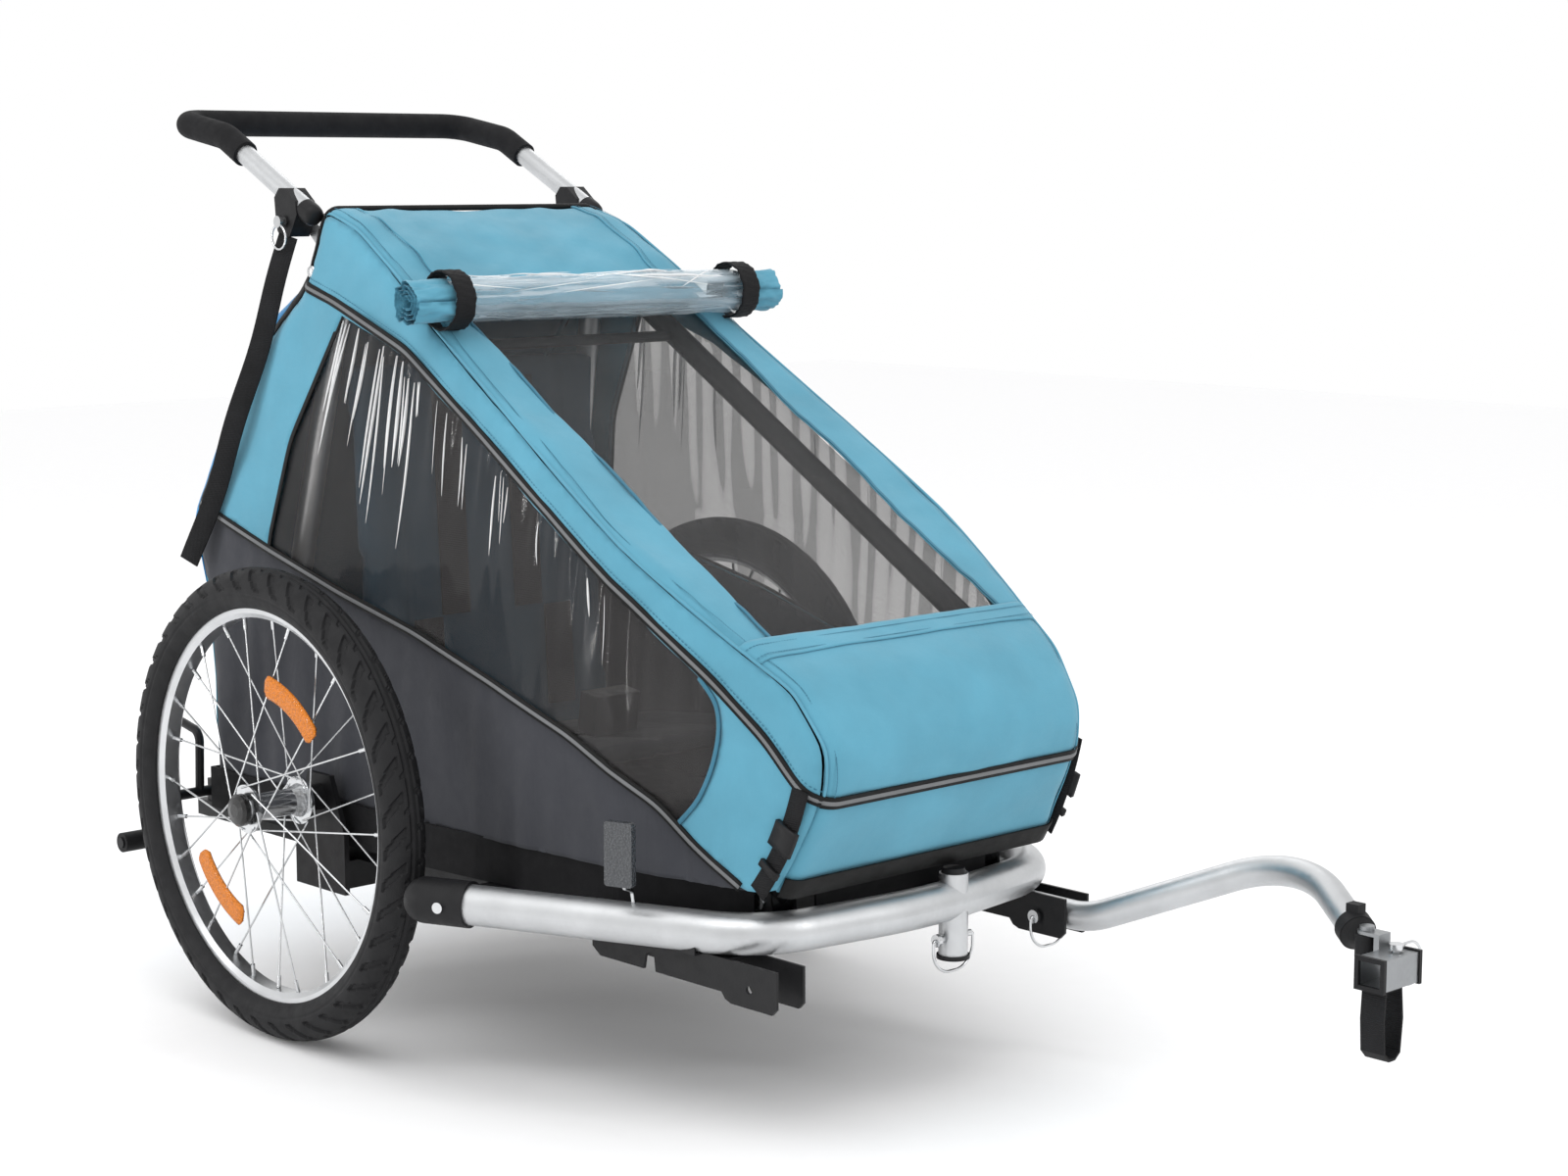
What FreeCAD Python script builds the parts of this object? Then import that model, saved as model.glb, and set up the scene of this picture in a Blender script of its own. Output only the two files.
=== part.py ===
"""Child bicycle trailer. Millimetres, +X towards the bicycle, +Y to the left, +Z up.

Shapes are drawn with X counted from the wheel axle, Z from the ground, and moved to the part's
own frame at the end: origin on the ground, in the middle of the overall length and width.
"""
import FreeCAD, Part
import math
import os

# Overall layout
AXLE_X = -343.4            # the axle, counted from the origin
AXLE_Z = 250.0
WHEEL_Y = 325.0            # centre plane of each wheel

# Wheels
TYRE_RADIUS = 250.0
TYRE_SECTION = 23.5        # radius of the tyre's round section
TYRE_WALL = 3.0
RIM_OUTER = 213.0
RIM_INNER = 198.0
RIM_HALF_WIDTH = 12.5
RIM_WALL = 2.0
SPOKE_COUNT = 28
SPOKE_RADIUS = 1.0
HUB_FLANGE_Y = 32.5        # flange centre, counted from the wheel's centre plane
HUB_FLANGE_RADIUS = 25.5
HUB_BORE = 6.40
AXLE_PIN_RADIUS = 6.35
CAP_RADIUS = 17.0
CAP_BORE = 12.0
CAP_BOSS = 11.95
CAP_TRAVEL = 3.0

# Floor frame
BUMPER_Z = 200.0
BUMPER_DIAMETER = 40.0
BUMPER_WALL = 2.0
BUMPER_REAR = (286.0, 331.0)
BUMPER_CORNER = (608.0, 196.0)
BUMPER_FRONT_X = 637.0
BUMPER_CORNER_RADIUS = 95.0
BUMPER_FRONT_RADIUS = 420.0
RAIL_Y = 224.0
RAIL_WIDTH = 20.0
RAIL_Z = (180.0, 198.0)
RAIL_X = (-292.0, 560.0)
TUB_Z = 199.0
BAND_Z = 245.0             # seam between the black band and the grey side panels
CLOTH = 3.0                # wall of the fabric shells

# Receivers under the floor, one each side
RECEIVER_Y = 200.0
RECEIVER_INNER = 15.5
RECEIVER_WALL = 3.0
RECEIVER_X = (392.0, 655.0)
RECEIVER_Z = (147.0, 179.5)
RECEIVER_PIN = (618.0, 156.0)
RECEIVER_WEB_END = 588.0   # the channel has no top ahead of this, so the drawbar can tip up
NOTCH_X = 478.0
DRAWBAR_Z = 160.0
DRAWBAR_DIAMETER = 30.0

# Caster socket through the front of the bumper
SOCKET_Y = 40.0
SOCKET_X = 634.0
SOCKET_BORE = 11.0
SOCKET_RADIUS = 14.5
SOCKET_TOP = 228.0
SOCKET_BOTTOM = 146.0

# Folding frame
FRAME_RADIUS = 12.5
HOOP_PIVOT = (-190.0, 222.0)
HOOP_TOP = (-58.0, 842.0)
HOOP_FOOT_Y = 205.0
HOOP_TOP_Y = 172.0
STAY_PIVOT = (572.0, 222.0)
STAY_Y = 143.0
STAY_TOP = (0.0, 795.0)
EYE_RADIUS = 13.0
PIVOT_BOLT = 5.0
RUNNING = 0.05             # radial clearance of every hinge

# Push handle
HANDLE_PIVOT = (-128.0, 853.0)
HANDLE_Y = 195.0
HANDLE_RADIUS = 11.0
GRIP_RADIUS = 14.7
HANDLE_ROOT = (-96.0, 861.0)
HANDLE_BEND = (-258.0, 945.0)
HANDLE_BACK = (-350.0, 961.0)

# Hitch on the drawbar's front end
HITCH = (1035.0, 196.0, 181.0)
HITCH_SIZE = (30.0, 52.0, 29.0)

# Pins under the frame
BAIL_WIRE = 1.5
PIN_HALF = 25.0
BAIL_DROP = 34.0
SOCKET_PIN_Z = 163.0


def vec(x, y, z):
    return FreeCAD.Vector(x, y, z)


def block(x, y, z):
    """Box between two limits on each axis, given in either order."""
    x0, x1 = sorted(x)
    y0, y1 = sorted(y)
    z0, z1 = sorted(z)
    return Part.makeBox(x1 - x0, y1 - y0, z1 - z0, vec(x0, y0, z0))


def rod(radius, start, end):
    along = end - start
    return Part.makeCylinder(radius, along.Length, start, along)


def pipe(outer, inner, start, end):
    return rod(outer, start, end).cut(rod(inner, start, end))


def joined(shapes):
    """One solid from shapes that touch."""
    whole = shapes[0]
    for shape in shapes[1:]:
        whole = whole.fuse(shape)
    return whole.removeSplitter()


def group(shapes):
    return Part.makeCompound([solid for shape in shapes for solid in shape.Solids])


def mirrored(shape):
    return shape.mirror(vec(0, 0, 0), vec(0, 1, 0))


def rounded_path(points, radii):
    """Wire of straight runs joined by tangent arcs, with one radius for each inner point."""
    edges = []
    start = points[0]
    for before, corner, after, radius in zip(points, points[1:], points[2:], radii):
        back = (before - corner).normalize()
        ahead = (after - corner).normalize()
        half = back.getAngle(ahead) / 2
        reach = radius / math.tan(half)
        first = corner + back * reach
        last = corner + ahead * reach
        middle = (back + ahead).normalize()
        nearest = corner + middle * (radius / math.sin(half) - radius)
        edges.append(Part.LineSegment(start, first).toShape())
        edges.append(Part.Arc(first, nearest, last).toShape())
        start = last
    edges.append(Part.LineSegment(start, points[-1]).toShape())
    return Part.Wire(edges)


def bent_tube(points, radii, radius, wall=0.0):
    """Round tube along a rounded path. A wall of 0 makes a solid rod."""
    path = rounded_path(points, radii)
    direction = points[1] - points[0]

    def swept(size):
        circle = Part.Wire([Part.makeCircle(size, points[0], direction)])
        return path.makePipe(Part.Face(circle))

    outer = swept(radius)
    return outer.cut(swept(radius - wall)) if wall else outer


def side_plate(outline, y):
    """Flat plate from an outline of (x, z) points, between two Y limits."""
    y0, y1 = sorted(y)
    corners = [vec(x, y0, z) for x, z in outline]
    face = Part.Face(Part.makePolygon(corners + corners[:1]))
    return face.extrude(vec(0, y1 - y0, 0))


def floor_plate(outline, z):
    """Flat plate from an outline of (x, y) points, between two Z limits."""
    corners = [vec(x, y, z[0]) for x, y in outline]
    face = Part.Face(Part.makePolygon(corners + corners[:1]))
    return face.extrude(vec(0, 0, z[1] - z[0]))


def revolved_about_y(profile, centre):
    """Ring or hub from (radius, y) points, turned about the Y axis through centre."""
    corners = [centre + vec(r, y, 0) for r, y in profile]
    face = Part.Face(Part.makePolygon(corners + corners[:1]))
    return face.revolve(centre, vec(0, 1, 0), 360)


# ---------------------------------------------------------------- wheels

def make_tyre(centre):
    ring = TYRE_RADIUS - TYRE_SECTION
    outer = Part.makeTorus(ring, TYRE_SECTION, centre, vec(0, 1, 0))
    inner = Part.makeTorus(ring, TYRE_SECTION - TYRE_WALL, centre, vec(0, 1, 0))
    half = vec(0, RIM_HALF_WIDTH, 0)
    seat = rod(RIM_OUTER, centre - half, centre + half)
    edge = vec(0, TYRE_SECTION + 1, 0)
    below = rod(RIM_OUTER - 3.0, centre - edge, centre + edge)
    return outer.cut(inner).cut(seat).cut(below)


def make_rim(centre):
    """Box section open towards the tyre."""
    w = RIM_HALF_WIDTH
    t = RIM_WALL
    profile = [
        (RIM_OUTER, -w), (RIM_OUTER, -w + t), (RIM_INNER + 6, -w + t), (RIM_INNER + t, -w + 5),
        (RIM_INNER + t, w - 5), (RIM_INNER + 6, w - t), (RIM_OUTER, w - t), (RIM_OUTER, w),
        (RIM_INNER + 5, w), (RIM_INNER, w - 4), (RIM_INNER, -w + 4), (RIM_INNER + 5, -w),
    ]
    return revolved_about_y(profile, centre)


def make_hub(centre, side):
    """Bored shell with two spoke flanges and the boss that guides the cap."""
    f = HUB_FLANGE_Y
    profile = [
        (HUB_BORE, -37), (11, -37), (11, -f - 1.5), (HUB_FLANGE_RADIUS, -f - 1.5), (HUB_FLANGE_RADIUS, -f + 1.5),
        (18, -f + 1.5), (14, -20), (14, 20), (18, f - 1.5), (HUB_FLANGE_RADIUS, f - 1.5),
        (HUB_FLANGE_RADIUS, f + 1.5), (CAP_BOSS, f + 1.5), (CAP_BOSS, 42.5), (HUB_BORE, 42.5),
    ]
    return revolved_about_y([(r, side * y) for r, y in profile], centre)


def make_cap(centre, side):
    """Cup that slides over the hub's boss: pressing it frees the axle pin."""
    profile = [(CAP_BORE, 38), (CAP_RADIUS, 38), (CAP_RADIUS, 44), (CAP_RADIUS - 3, 47), (7, 48.4),
               (0, 48.4), (0, 46.2), (CAP_BORE, 46.2)]
    return revolved_about_y([(r, side * y) for r, y in profile], centre)


def make_spokes(centre):
    """Crossed steel spokes with their nipples, half of them to each flange."""
    spokes = []
    per_flange = SPOKE_COUNT // 2
    for number in range(SPOKE_COUNT):
        flange = 1 if number % 2 else -1
        turn = number // 2
        lean = 1 if turn % 2 else -1
        rim_angle = 2 * math.pi * number / SPOKE_COUNT
        hub_angle = rim_angle + lean * math.radians(78) * 1.0
        y_hub = flange * (HUB_FLANGE_Y + 2.9 * lean)
        y_rim = flange * (2.5 + 1.6 * lean)
        hub = centre + vec(22.5 * math.cos(hub_angle), y_hub, 22.5 * math.sin(hub_angle))
        rim = centre + vec(RIM_INNER * math.cos(rim_angle), y_rim, RIM_INNER * math.sin(rim_angle))
        inward = (hub - rim).normalize()
        spokes.append(joined([rod(SPOKE_RADIUS, hub, rim), rod(2.2, rim + inward * 0.4, rim + inward * 13)]))
    return group(spokes)


def make_wheel_reflectors(centre, side):
    """Two amber reflectors clipped between spokes, opposite each other."""
    plates = []
    for angle in (28.0, -142.0):
        plate = block((-46, 46), (side * 14.0, side * 20.0), (118, 144))
        plate.rotate(vec(0, 0, 0), vec(0, 1, 0), angle)
        plate.translate(centre)
        plates.append(plate)
    return group(plates)


def wheel_nodes(name, side):
    centre = vec(0, side * WHEEL_Y, AXLE_Z)
    rim = make_rim(centre)
    hub = make_hub(centre, side)
    spokes = group([spoke.cut(hub).cut(rim) for spoke in make_spokes(centre).Solids])
    return {
        "tyre_" + name: make_tyre(centre),
        "rim_" + name: rim,
        "spokes_" + name: spokes,
        "hub_" + name: hub,
        "hub_cap_" + name: make_cap(centre, side),
        "reflectors_" + name: group([plate.cut(spokes) for plate in make_wheel_reflectors(centre, side).Solids]),
    }


def make_axle_pins():
    pins = []
    for side in (-1, 1):
        inner = vec(0, side * 262.0, AXLE_Z)
        outer = vec(0, side * (WHEEL_Y + 42.0), AXLE_Z)
        pins.append(rod(AXLE_PIN_RADIUS, inner, outer))
    return group(pins)


# ---------------------------------------------------------------- floor frame

def bumper_points():
    right = [vec(x, -y, BUMPER_Z) for x, y in (BUMPER_REAR, BUMPER_CORNER)]
    left = [vec(x, y, BUMPER_Z) for x, y in (BUMPER_CORNER, BUMPER_REAR)]
    return right + [vec(BUMPER_FRONT_X, 0, BUMPER_Z)] + left


def make_bumper():
    radii = [BUMPER_CORNER_RADIUS, BUMPER_FRONT_RADIUS, BUMPER_CORNER_RADIUS]
    tube = bent_tube(bumper_points(), radii, BUMPER_DIAMETER / 2, BUMPER_WALL)
    hole = rod(SOCKET_RADIUS, vec(SOCKET_X, SOCKET_Y, 170), vec(SOCKET_X, SOCKET_Y, 230))
    return tube.cut(hole)


def make_end_caps():
    """Rounded plastic caps clamped over the bumper's rear ends, each with a lug to the side rail."""
    points = bumper_points()
    along = (points[1] - points[0]).normalize()
    start = points[0] - along * 8
    end = points[0] + along * 42
    cap = joined([rod(23.0, start, end), Part.makeSphere(23.0, start)])
    cap = cap.cut(rod(BUMPER_DIAMETER / 2, points[0], end + along))
    lug = block((256, 298), (-RAIL_Y - RAIL_WIDTH / 2, -318), (184, 198))
    bore = rod(BUMPER_DIAMETER / 2, points[0], end + along * 10)
    cap = joined([cap, lug.cut(bore)])
    outward = vec(along.y, -along.x, 0)
    head = points[0] + along * 18
    cap = cap.cut(rod(5.5, head + outward * 22.0, head + outward * 30))
    return group([cap, mirrored(cap)])


def make_side_rails():
    half = RAIL_WIDTH / 2
    rail = block(RAIL_X, (RAIL_Y - half, RAIL_Y + half), RAIL_Z)
    rail = rail.cut(block((RAIL_X[0] - 1, RAIL_X[1] + 1), (RAIL_Y - half + 2, RAIL_Y + half - 2),
                          (RAIL_Z[0] + 2, RAIL_Z[1] - 2)))
    rail = rail.cut(bumper_envelope())
    return group([rail, mirrored(rail)])


def bumper_envelope():
    radii = [BUMPER_CORNER_RADIUS, BUMPER_FRONT_RADIUS, BUMPER_CORNER_RADIUS]
    return bent_tube(bumper_points(), radii, BUMPER_DIAMETER / 2 + 0.2)


def make_axle_beam():
    """Channel across the trailer under the rails, with an upright plate and boss for each wheel."""
    beam = block((-22, 22), (-262, 262), (150, 180)).cut(block((-19, 19), (-263, 263), (149, 177)))
    plate = side_plate([(-45, 150), (45, 150), (45, 215), (20, 275), (-20, 275), (-45, 215)], (262, 268))
    boss = rod(14.0, vec(0, 262, AXLE_Z), vec(0, 284, AXLE_Z))
    bore = rod(AXLE_PIN_RADIUS, vec(0, 255, AXLE_Z), vec(0, 300, AXLE_Z))
    end = joined([plate, boss]).cut(bore)
    return joined([beam, end, mirrored(end)])


def make_cross_tubes():
    """Tubes between the side rails: one behind, one ahead of the seat, and the front pivot beam."""
    tubes = []
    for x in (-270.0, 300.0):
        tubes.append(pipe(9.0, 7.0, vec(x, -RAIL_Y + 10, 189), vec(x, RAIL_Y - 10, 189)))
    return group(tubes)


def make_receiver(side):
    """Channel open downwards, with a hook notch at mid length and a pin hole near the front."""
    outer = RECEIVER_INNER + RECEIVER_WALL
    x0, x1 = RECEIVER_X
    z0, z1 = RECEIVER_Z
    outline = [(x0, z1), (x0, z0 + 8), (x0 + 12, z0), (x1 - 75, z0), (x1 - 70, z0 - 6), (x1 - 62, z0 - 9),
               (x1 - 6, z0 - 9), (x1, z0 - 3), (x1, z1)]
    body = side_plate(outline, (-outer, outer))
    body = body.cut(block((x0 - 1, x1 + 1), (-RECEIVER_INNER, RECEIVER_INNER), (z0 - 20, z1 - RECEIVER_WALL)))
    body = body.cut(block((RECEIVER_WEB_END, x1 + 1), (-RECEIVER_INNER, RECEIVER_INNER), (z0, z1 + 1)))
    notch = side_plate([(NOTCH_X - 12, z0 - 15), (NOTCH_X - 6.5, DRAWBAR_Z), (NOTCH_X + 6.5, DRAWBAR_Z),
                        (NOTCH_X + 10, z0 - 15)], (-outer - 1, outer + 1))
    top = rod(6.5, vec(NOTCH_X, -outer - 1, DRAWBAR_Z - 1.2), vec(NOTCH_X, outer + 1, DRAWBAR_Z - 1.2))
    hole_x, hole_z = RECEIVER_PIN
    hole = rod(4.1, vec(hole_x, -outer - 1, hole_z), vec(hole_x, outer + 1, hole_z))
    body = body.cut(notch).cut(top).cut(hole)
    body.translate(vec(0, side * RECEIVER_Y, 0))
    return body


def make_caster_socket():
    lower = vec(SOCKET_X, SOCKET_Y, SOCKET_BOTTOM)
    upper = vec(SOCKET_X, SOCKET_Y, SOCKET_TOP)
    socket = rod(SOCKET_RADIUS, lower, upper)
    socket = socket.cut(rod(SOCKET_BORE, lower - vec(0, 0, 1), upper - vec(0, 0, 6)))
    pin_hole = rod(3.3, vec(SOCKET_X, SOCKET_Y - 30, 163), vec(SOCKET_X, SOCKET_Y + 30, 163))
    return socket.cut(pin_hole)


def make_socket_rings():
    """Black cap on the socket's top and collar round its mouth."""
    cap = Part.makeCone(12.5, 10.5, 5.0, vec(SOCKET_X, SOCKET_Y, SOCKET_TOP))
    collar = pipe(16.5, SOCKET_BORE, vec(SOCKET_X, SOCKET_Y, SOCKET_BOTTOM - 4),
                  vec(SOCKET_X, SOCKET_Y, SOCKET_BOTTOM))
    return group([cap, collar])


def pivot_bracket(pivot, y):
    """Two upright plates on the floor, one each side of a tube eye."""
    x, z = pivot
    plates = []
    for near, far in ((y - 18, y - 14), (y + 14, y + 18)):
        plate = side_plate([(x - 13, 202), (x + 13, 202), (x + 11, z + 9), (x, z + 14), (x - 11, z + 9)], (near, far))
        plates.append(plate.cut(rod(PIVOT_BOLT, vec(x, near - 1, z), vec(x, far + 1, z))))
    return plates


def make_pivot_brackets():
    plates = []
    for side in (-1, 1):
        plates += pivot_bracket(HOOP_PIVOT, side * HOOP_FOOT_Y)
        plates += pivot_bracket(STAY_PIVOT, side * STAY_Y)
    return group(plates + brake_bearings())


def make_hardware():
    """Steel pivot bolts, cap screws and the wire stands of the front reflectors."""
    pieces = []
    for pivot, y in ((HOOP_PIVOT, HOOP_FOOT_Y), (STAY_PIVOT, STAY_Y)):
        x, z = pivot
        bolt = joined([rod(PIVOT_BOLT, vec(x, y - 19, z), vec(x, y + 18, z)),
                       rod(8.0, vec(x, y + 18, z), vec(x, y + 22, z))])
        pieces += [bolt, mirrored(bolt)]
    points = bumper_points()
    along = (points[1] - points[0]).normalize()
    outward = vec(along.y, -along.x, 0)
    head = points[0] + along * 18
    screw = rod(5.5, head + outward * 22.0, head + outward * 25.5)
    pieces += [screw, mirrored(screw)]
    stand = bent_tube([vec(488, -247, 220.2), vec(488, -249, 232), vec(499, -268, 240), vec(499, -269, 250)],
                      [4, 4], 2.0)
    pieces += [stand, mirrored(stand)]
    return group(pieces)


def make_front_reflectors():
    plate = block((-15, 15), (-4, 4), (-31, 31))
    plate = plate.makeFillet(3.0, [edge for edge in plate.Edges if abs(edge.Vertexes[0].Y - edge.Vertexes[1].Y) > 1])
    plate.rotate(vec(0, 0, 0), vec(0, 0, 1), 19)
    plate.translate(vec(501, -274.5, 274))
    return group([plate, mirrored(plate)])


# ---------------------------------------------------------------- fabric body

SIDE_PROFILE = [
    (-238, 200), (-262, 440), (-290, 515), (-205, 695), (-104, 790), (-85, 871), (-20, 851), (60, 803), (123, 757),
    (591, 469), (640, 440), (680, 385), (679, 345), (666, 310), (634, 250), (606, 200),
]
TRIM = [(-330, 555), (-131, 502), (8, 467), (141, 439), (267, 403), (384, 365), (498, 312), (540, 278), (590, 246)]
PIPING = [(-110, 792), (-40, 774), (94, 727), (233, 648), (350, 579), (464, 507), (560, 440), (623, 388), (666, 346),
          (700, 330)]
SIDE_WINDOW = [
    (-22, 760), (94, 720), (233, 641), (350, 572), (464, 500), (552, 436), (566, 420), (552, 365), (524, 330),
    (492, 322), (384, 373), (267, 411), (141, 447), (8, 475), (-122, 508),
]


def body_block(inset):
    """The closed outer shape of the fabric body, drawn in by inset on every side."""
    corners = [vec(x, 0, z) for x, z in SIDE_PROFILE]
    outline = Part.makePolygon(corners + corners[:1])
    if inset:
        outline = outline.makeOffset2D(-inset, 2)
    face = Part.Face(outline)
    face.translate(vec(0, -300, 0))
    prism = face.extrude(vec(0, 600, 0))
    tall = [(200, 253), (520, 240), (870, 193)]
    side = [vec(-400, y - inset, z) for z, y in tall] + [vec(-400, inset - y, z) for z, y in tall[::-1]]
    section = Part.Face(Part.makePolygon(side + side[:1])).extrude(vec(1200, 0, 0))
    half = [(-400, 260), (150, 256), (440, 236), (560, 208), (640, 188), (720, 172)]
    plan = [vec(x, y - inset, 0) for x, y in half] + [vec(x, inset - y, 0) for x, y in half[::-1]]
    taper = Part.Face(Part.makePolygon(plan + plan[:1])).extrude(vec(0, 0, 1000))
    return prism.common(section).common(taper)


def tub_block(inset):
    """Lower body: the black floor tub, inside the bumper."""
    half = [(-238, 250), (150, 252), (290, 240), (440, 225), (560, 180), (604, 140)]
    plan = [vec(x, y - inset, 0) for x, y in half] + [vec(x, inset - y, 0) for x, y in half[::-1]]
    plan = [vec(max(p.x, -238 + inset), p.y, 0) for p in plan]
    plan = [vec(min(p.x, 604 - inset), p.y, 0) for p in plan]
    return Part.Face(Part.makePolygon(plan + plan[:1])).extrude(vec(0, 0, 1000))


def stay_room():
    """Slots in the tub round the front stays' feet."""
    slot = block((540, 615), (118, 169), (204, 250))
    return slot.fuse(mirrored(slot))


def hoop_envelope():
    """The rear hoop's tube with a little air round it."""
    corners = [vec(HOOP_PIVOT[0], -HOOP_FOOT_Y, HOOP_PIVOT[1]), vec(HOOP_TOP[0], -HOOP_TOP_Y, HOOP_TOP[1]),
               vec(HOOP_TOP[0], HOOP_TOP_Y, HOOP_TOP[1]), vec(HOOP_PIVOT[0], HOOP_FOOT_Y, HOOP_PIVOT[1])]
    return bent_tube(corners, [48, 48], FRAME_RADIUS + 0.5)


def fabric_nodes():
    """Cuts the hollow body into its sewn panels. Neighbours meet along their seams."""
    shell = body_block(0).cut(body_block(CLOTH))
    everywhere = (-300, 300)
    lower = side_plate(TRIM + [(590, BAND_Z), (-330, BAND_Z)], everywhere)
    above_trim = side_plate(TRIM + [(760, 246), (760, 1000), (-330, 1000)], everywhere)
    above_band = block((-400, 800), everywhere, (BAND_Z, 1000))
    rear = [(-300, 200), (-222, 200), (-246, 440), (-272, 512), (-190, 688), (-92, 782), (-74, 850), (-74, 900),
            (-400, 900), (-400, 200)]
    rear_zone = side_plate(rear, everywhere)
    walls = shell.common(above_band)

    rear_panel = walls.common(rear_zone)
    sides = walls.cut(rear_zone).common(lower)
    half_right = block((-400, 800), (-300, 0), (0, 1000))
    canopy = walls.cut(rear_zone).cut(lower)

    window_hole = side_plate(SIDE_WINDOW, everywhere)
    side_windows = canopy.common(window_hole).common(block((-400, 800), everywhere, (0, 1000)))
    mesh_hole = block((132, 586), (-157, 157), (460, 900))
    mesh = canopy.common(mesh_hole)
    side_windows = side_windows.cut(mesh_hole)
    canopy = canopy.cut(window_hole).cut(mesh_hole)
    bracket_room = block((-160, -66), (175, 232), (800, 900))
    canopy = canopy.cut(bracket_room).cut(mirrored(bracket_room))
    rear_panel = rear_panel.cut(bracket_room).cut(mirrored(bracket_room))

    tub = tub_block(0).cut(tub_block(CLOTH)).common(block((-400, 800), everywhere, (TUB_Z, BAND_Z)))
    base = tub_block(0).common(block((-400, 800), everywhere, (TUB_Z, TUB_Z + CLOTH)))
    return {
        "floor_tub": joined([base, tub]).cut(bumper_envelope()).cut(stay_room()).cut(make_pivot_brackets()),
        "side_panel_right": group([s for s in sides.Solids if s.CenterOfMass.y < 0]),
        "side_panel_left": group([s for s in sides.Solids if s.CenterOfMass.y > 0]),
        "rear_panel": group([rear_panel]),
        "canopy": group([canopy.cut(hoop_envelope())]),
        "mesh_window": group([mesh]),
        "side_window_right": side_windows.common(half_right),
        "side_window_left": side_windows.cut(half_right),
    }


ROLL_X = 146.0
ROLL_Z = 777.0


def make_cover_roll():
    """Rain cover rolled up across the top of the mesh window."""
    return rod(26.0, vec(ROLL_X, -252, ROLL_Z), vec(ROLL_X, 252, ROLL_Z))


def make_straps():
    """Elastic loops round the rolled cover, and the webbing that ties the nose to the floor."""
    straps = []
    for y in (-196, 196):
        straps.append(pipe(28.5, 26.0, vec(ROLL_X, y - 12, ROLL_Z), vec(ROLL_X, y + 12, ROLL_Z)))
    tie = side_plate([(670, 300), (673, 300), (642, 238), (639, 238)], (-176, -148))
    straps += [tie, mirrored(tie)]
    return group(straps)


def make_seat_back():
    outline = [(-60, 262), (-36, 256), (-62, 700), (-84, 704)]
    return side_plate(outline, (-168, 168)).cut(hoop_envelope())


def make_seat_base():
    outline = [(-32, 258), (250, 292), (252, 314), (-33, 282)]
    return side_plate(outline, (-168, 168))


def make_harness():
    """Two shoulder straps, two lap straps and a crotch strap."""
    straps = []
    for side in (-1, 1):
        y = (side * 32, side * 70)
        straps.append(side_plate([(-42, 420), (-39.5, 420), (-54.5, 680), (-57, 680)], y))
        straps.append(side_plate([(-33, 304), (-30.5, 304), (-37.5, 418), (-40, 418)], (side * 72, side * 110)))
    straps.append(side_plate([(60, 296.5), (61, 294), (140, 303.5), (139.5, 306)], (-19, 19)))
    return group(straps)


def make_harness_buckle():
    buckle = block((-14, 14), (-30, 30), (-22, 22))
    buckle.rotate(vec(0, 0, 0), vec(0, 1, 0), 8)
    buckle.translate(vec(160, 0, 330))
    return buckle


# ---------------------------------------------------------------- folding frame

def make_rear_hoop():
    """Inverted U that stands on two floor pivots, with roof ears reaching to the front stays."""
    def corner(side):
        return vec(HOOP_TOP[0], side * HOOP_TOP_Y, HOOP_TOP[1])

    def foot(side):
        return vec(HOOP_PIVOT[0], side * HOOP_FOOT_Y, HOOP_PIVOT[1])

    hoop = bent_tube([foot(-1), corner(-1), corner(1), foot(1)], [48, 48], FRAME_RADIUS, 1.5)
    parts = [hoop]
    x, z = HOOP_PIVOT
    for side in (-1, 1):
        y = side * HOOP_FOOT_Y
        parts.append(rod(EYE_RADIUS, vec(x, y - 13.7, z), vec(x, y + 13.7, z)))
        ear = side_plate([(-68, 800), (-60, 818), (6, 806), (8, 784), (-4, 780)], (side * 158.5, side * 163.5))
        parts.append(ear)
    whole = joined(parts)
    for side in (-1, 1):
        y = side * HOOP_FOOT_Y
        whole = whole.cut(rod(PIVOT_BOLT + RUNNING, vec(x, y - 20, z), vec(x, y + 20, z)))
    lug = handle_lug()
    whole = joined([whole, lug, mirrored(lug)])
    return whole


def handle_lug():
    """Plate from the hoop's corner back to the handle's pin."""
    x, z = HANDLE_PIVOT
    plate = side_plate([(-74, 800), (-62, 826), (x + 2, z + 9), (x - 9, z + 4), (x - 9, z - 9), (x + 6, z - 12)],
                       (-181.5, -176.5))
    return plate.cut(rod(4.0 + RUNNING, vec(x, -190, z), vec(x, -170, z)))


def make_front_stays():
    """Two bent tubes from the nose pivots up along the front window, tied by a thin cross tube."""
    x, z = STAY_PIVOT
    parts = []
    for side in (-1, 1):
        y = side * STAY_Y
        points = [vec(x, y, z), vec(638, y, 322), vec(618, y, 416), vec(STAY_TOP[0], y, STAY_TOP[1])]
        parts.append(bent_tube(points, [60, 60], FRAME_RADIUS, 1.5))
        parts.append(rod(EYE_RADIUS, vec(x, y - 13.7, z), vec(x, y + 13.7, z)))
    parts.append(rod(6.0, vec(110, -STAY_Y, 727), vec(110, STAY_Y, 727)))
    whole = joined(parts)
    for side in (-1, 1):
        y = side * STAY_Y
        whole = whole.cut(rod(PIVOT_BOLT + RUNNING, vec(x, y - 20, z), vec(x, y + 20, z)))
    return whole


# ---------------------------------------------------------------- push handle

def handle_points():
    root, bend, back = HANDLE_ROOT, HANDLE_BEND, HANDLE_BACK
    y = HANDLE_Y
    right = [vec(root[0], -y, root[1]), vec(bend[0], -y, bend[1]), vec(back[0], -y, back[1])]
    return right + [vec(p.x, -p.y, p.z) for p in right[::-1]]


def make_handle_tube():
    return bent_tube(handle_points(), [60, 26, 26, 60], HANDLE_RADIUS, 1.5)


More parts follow.
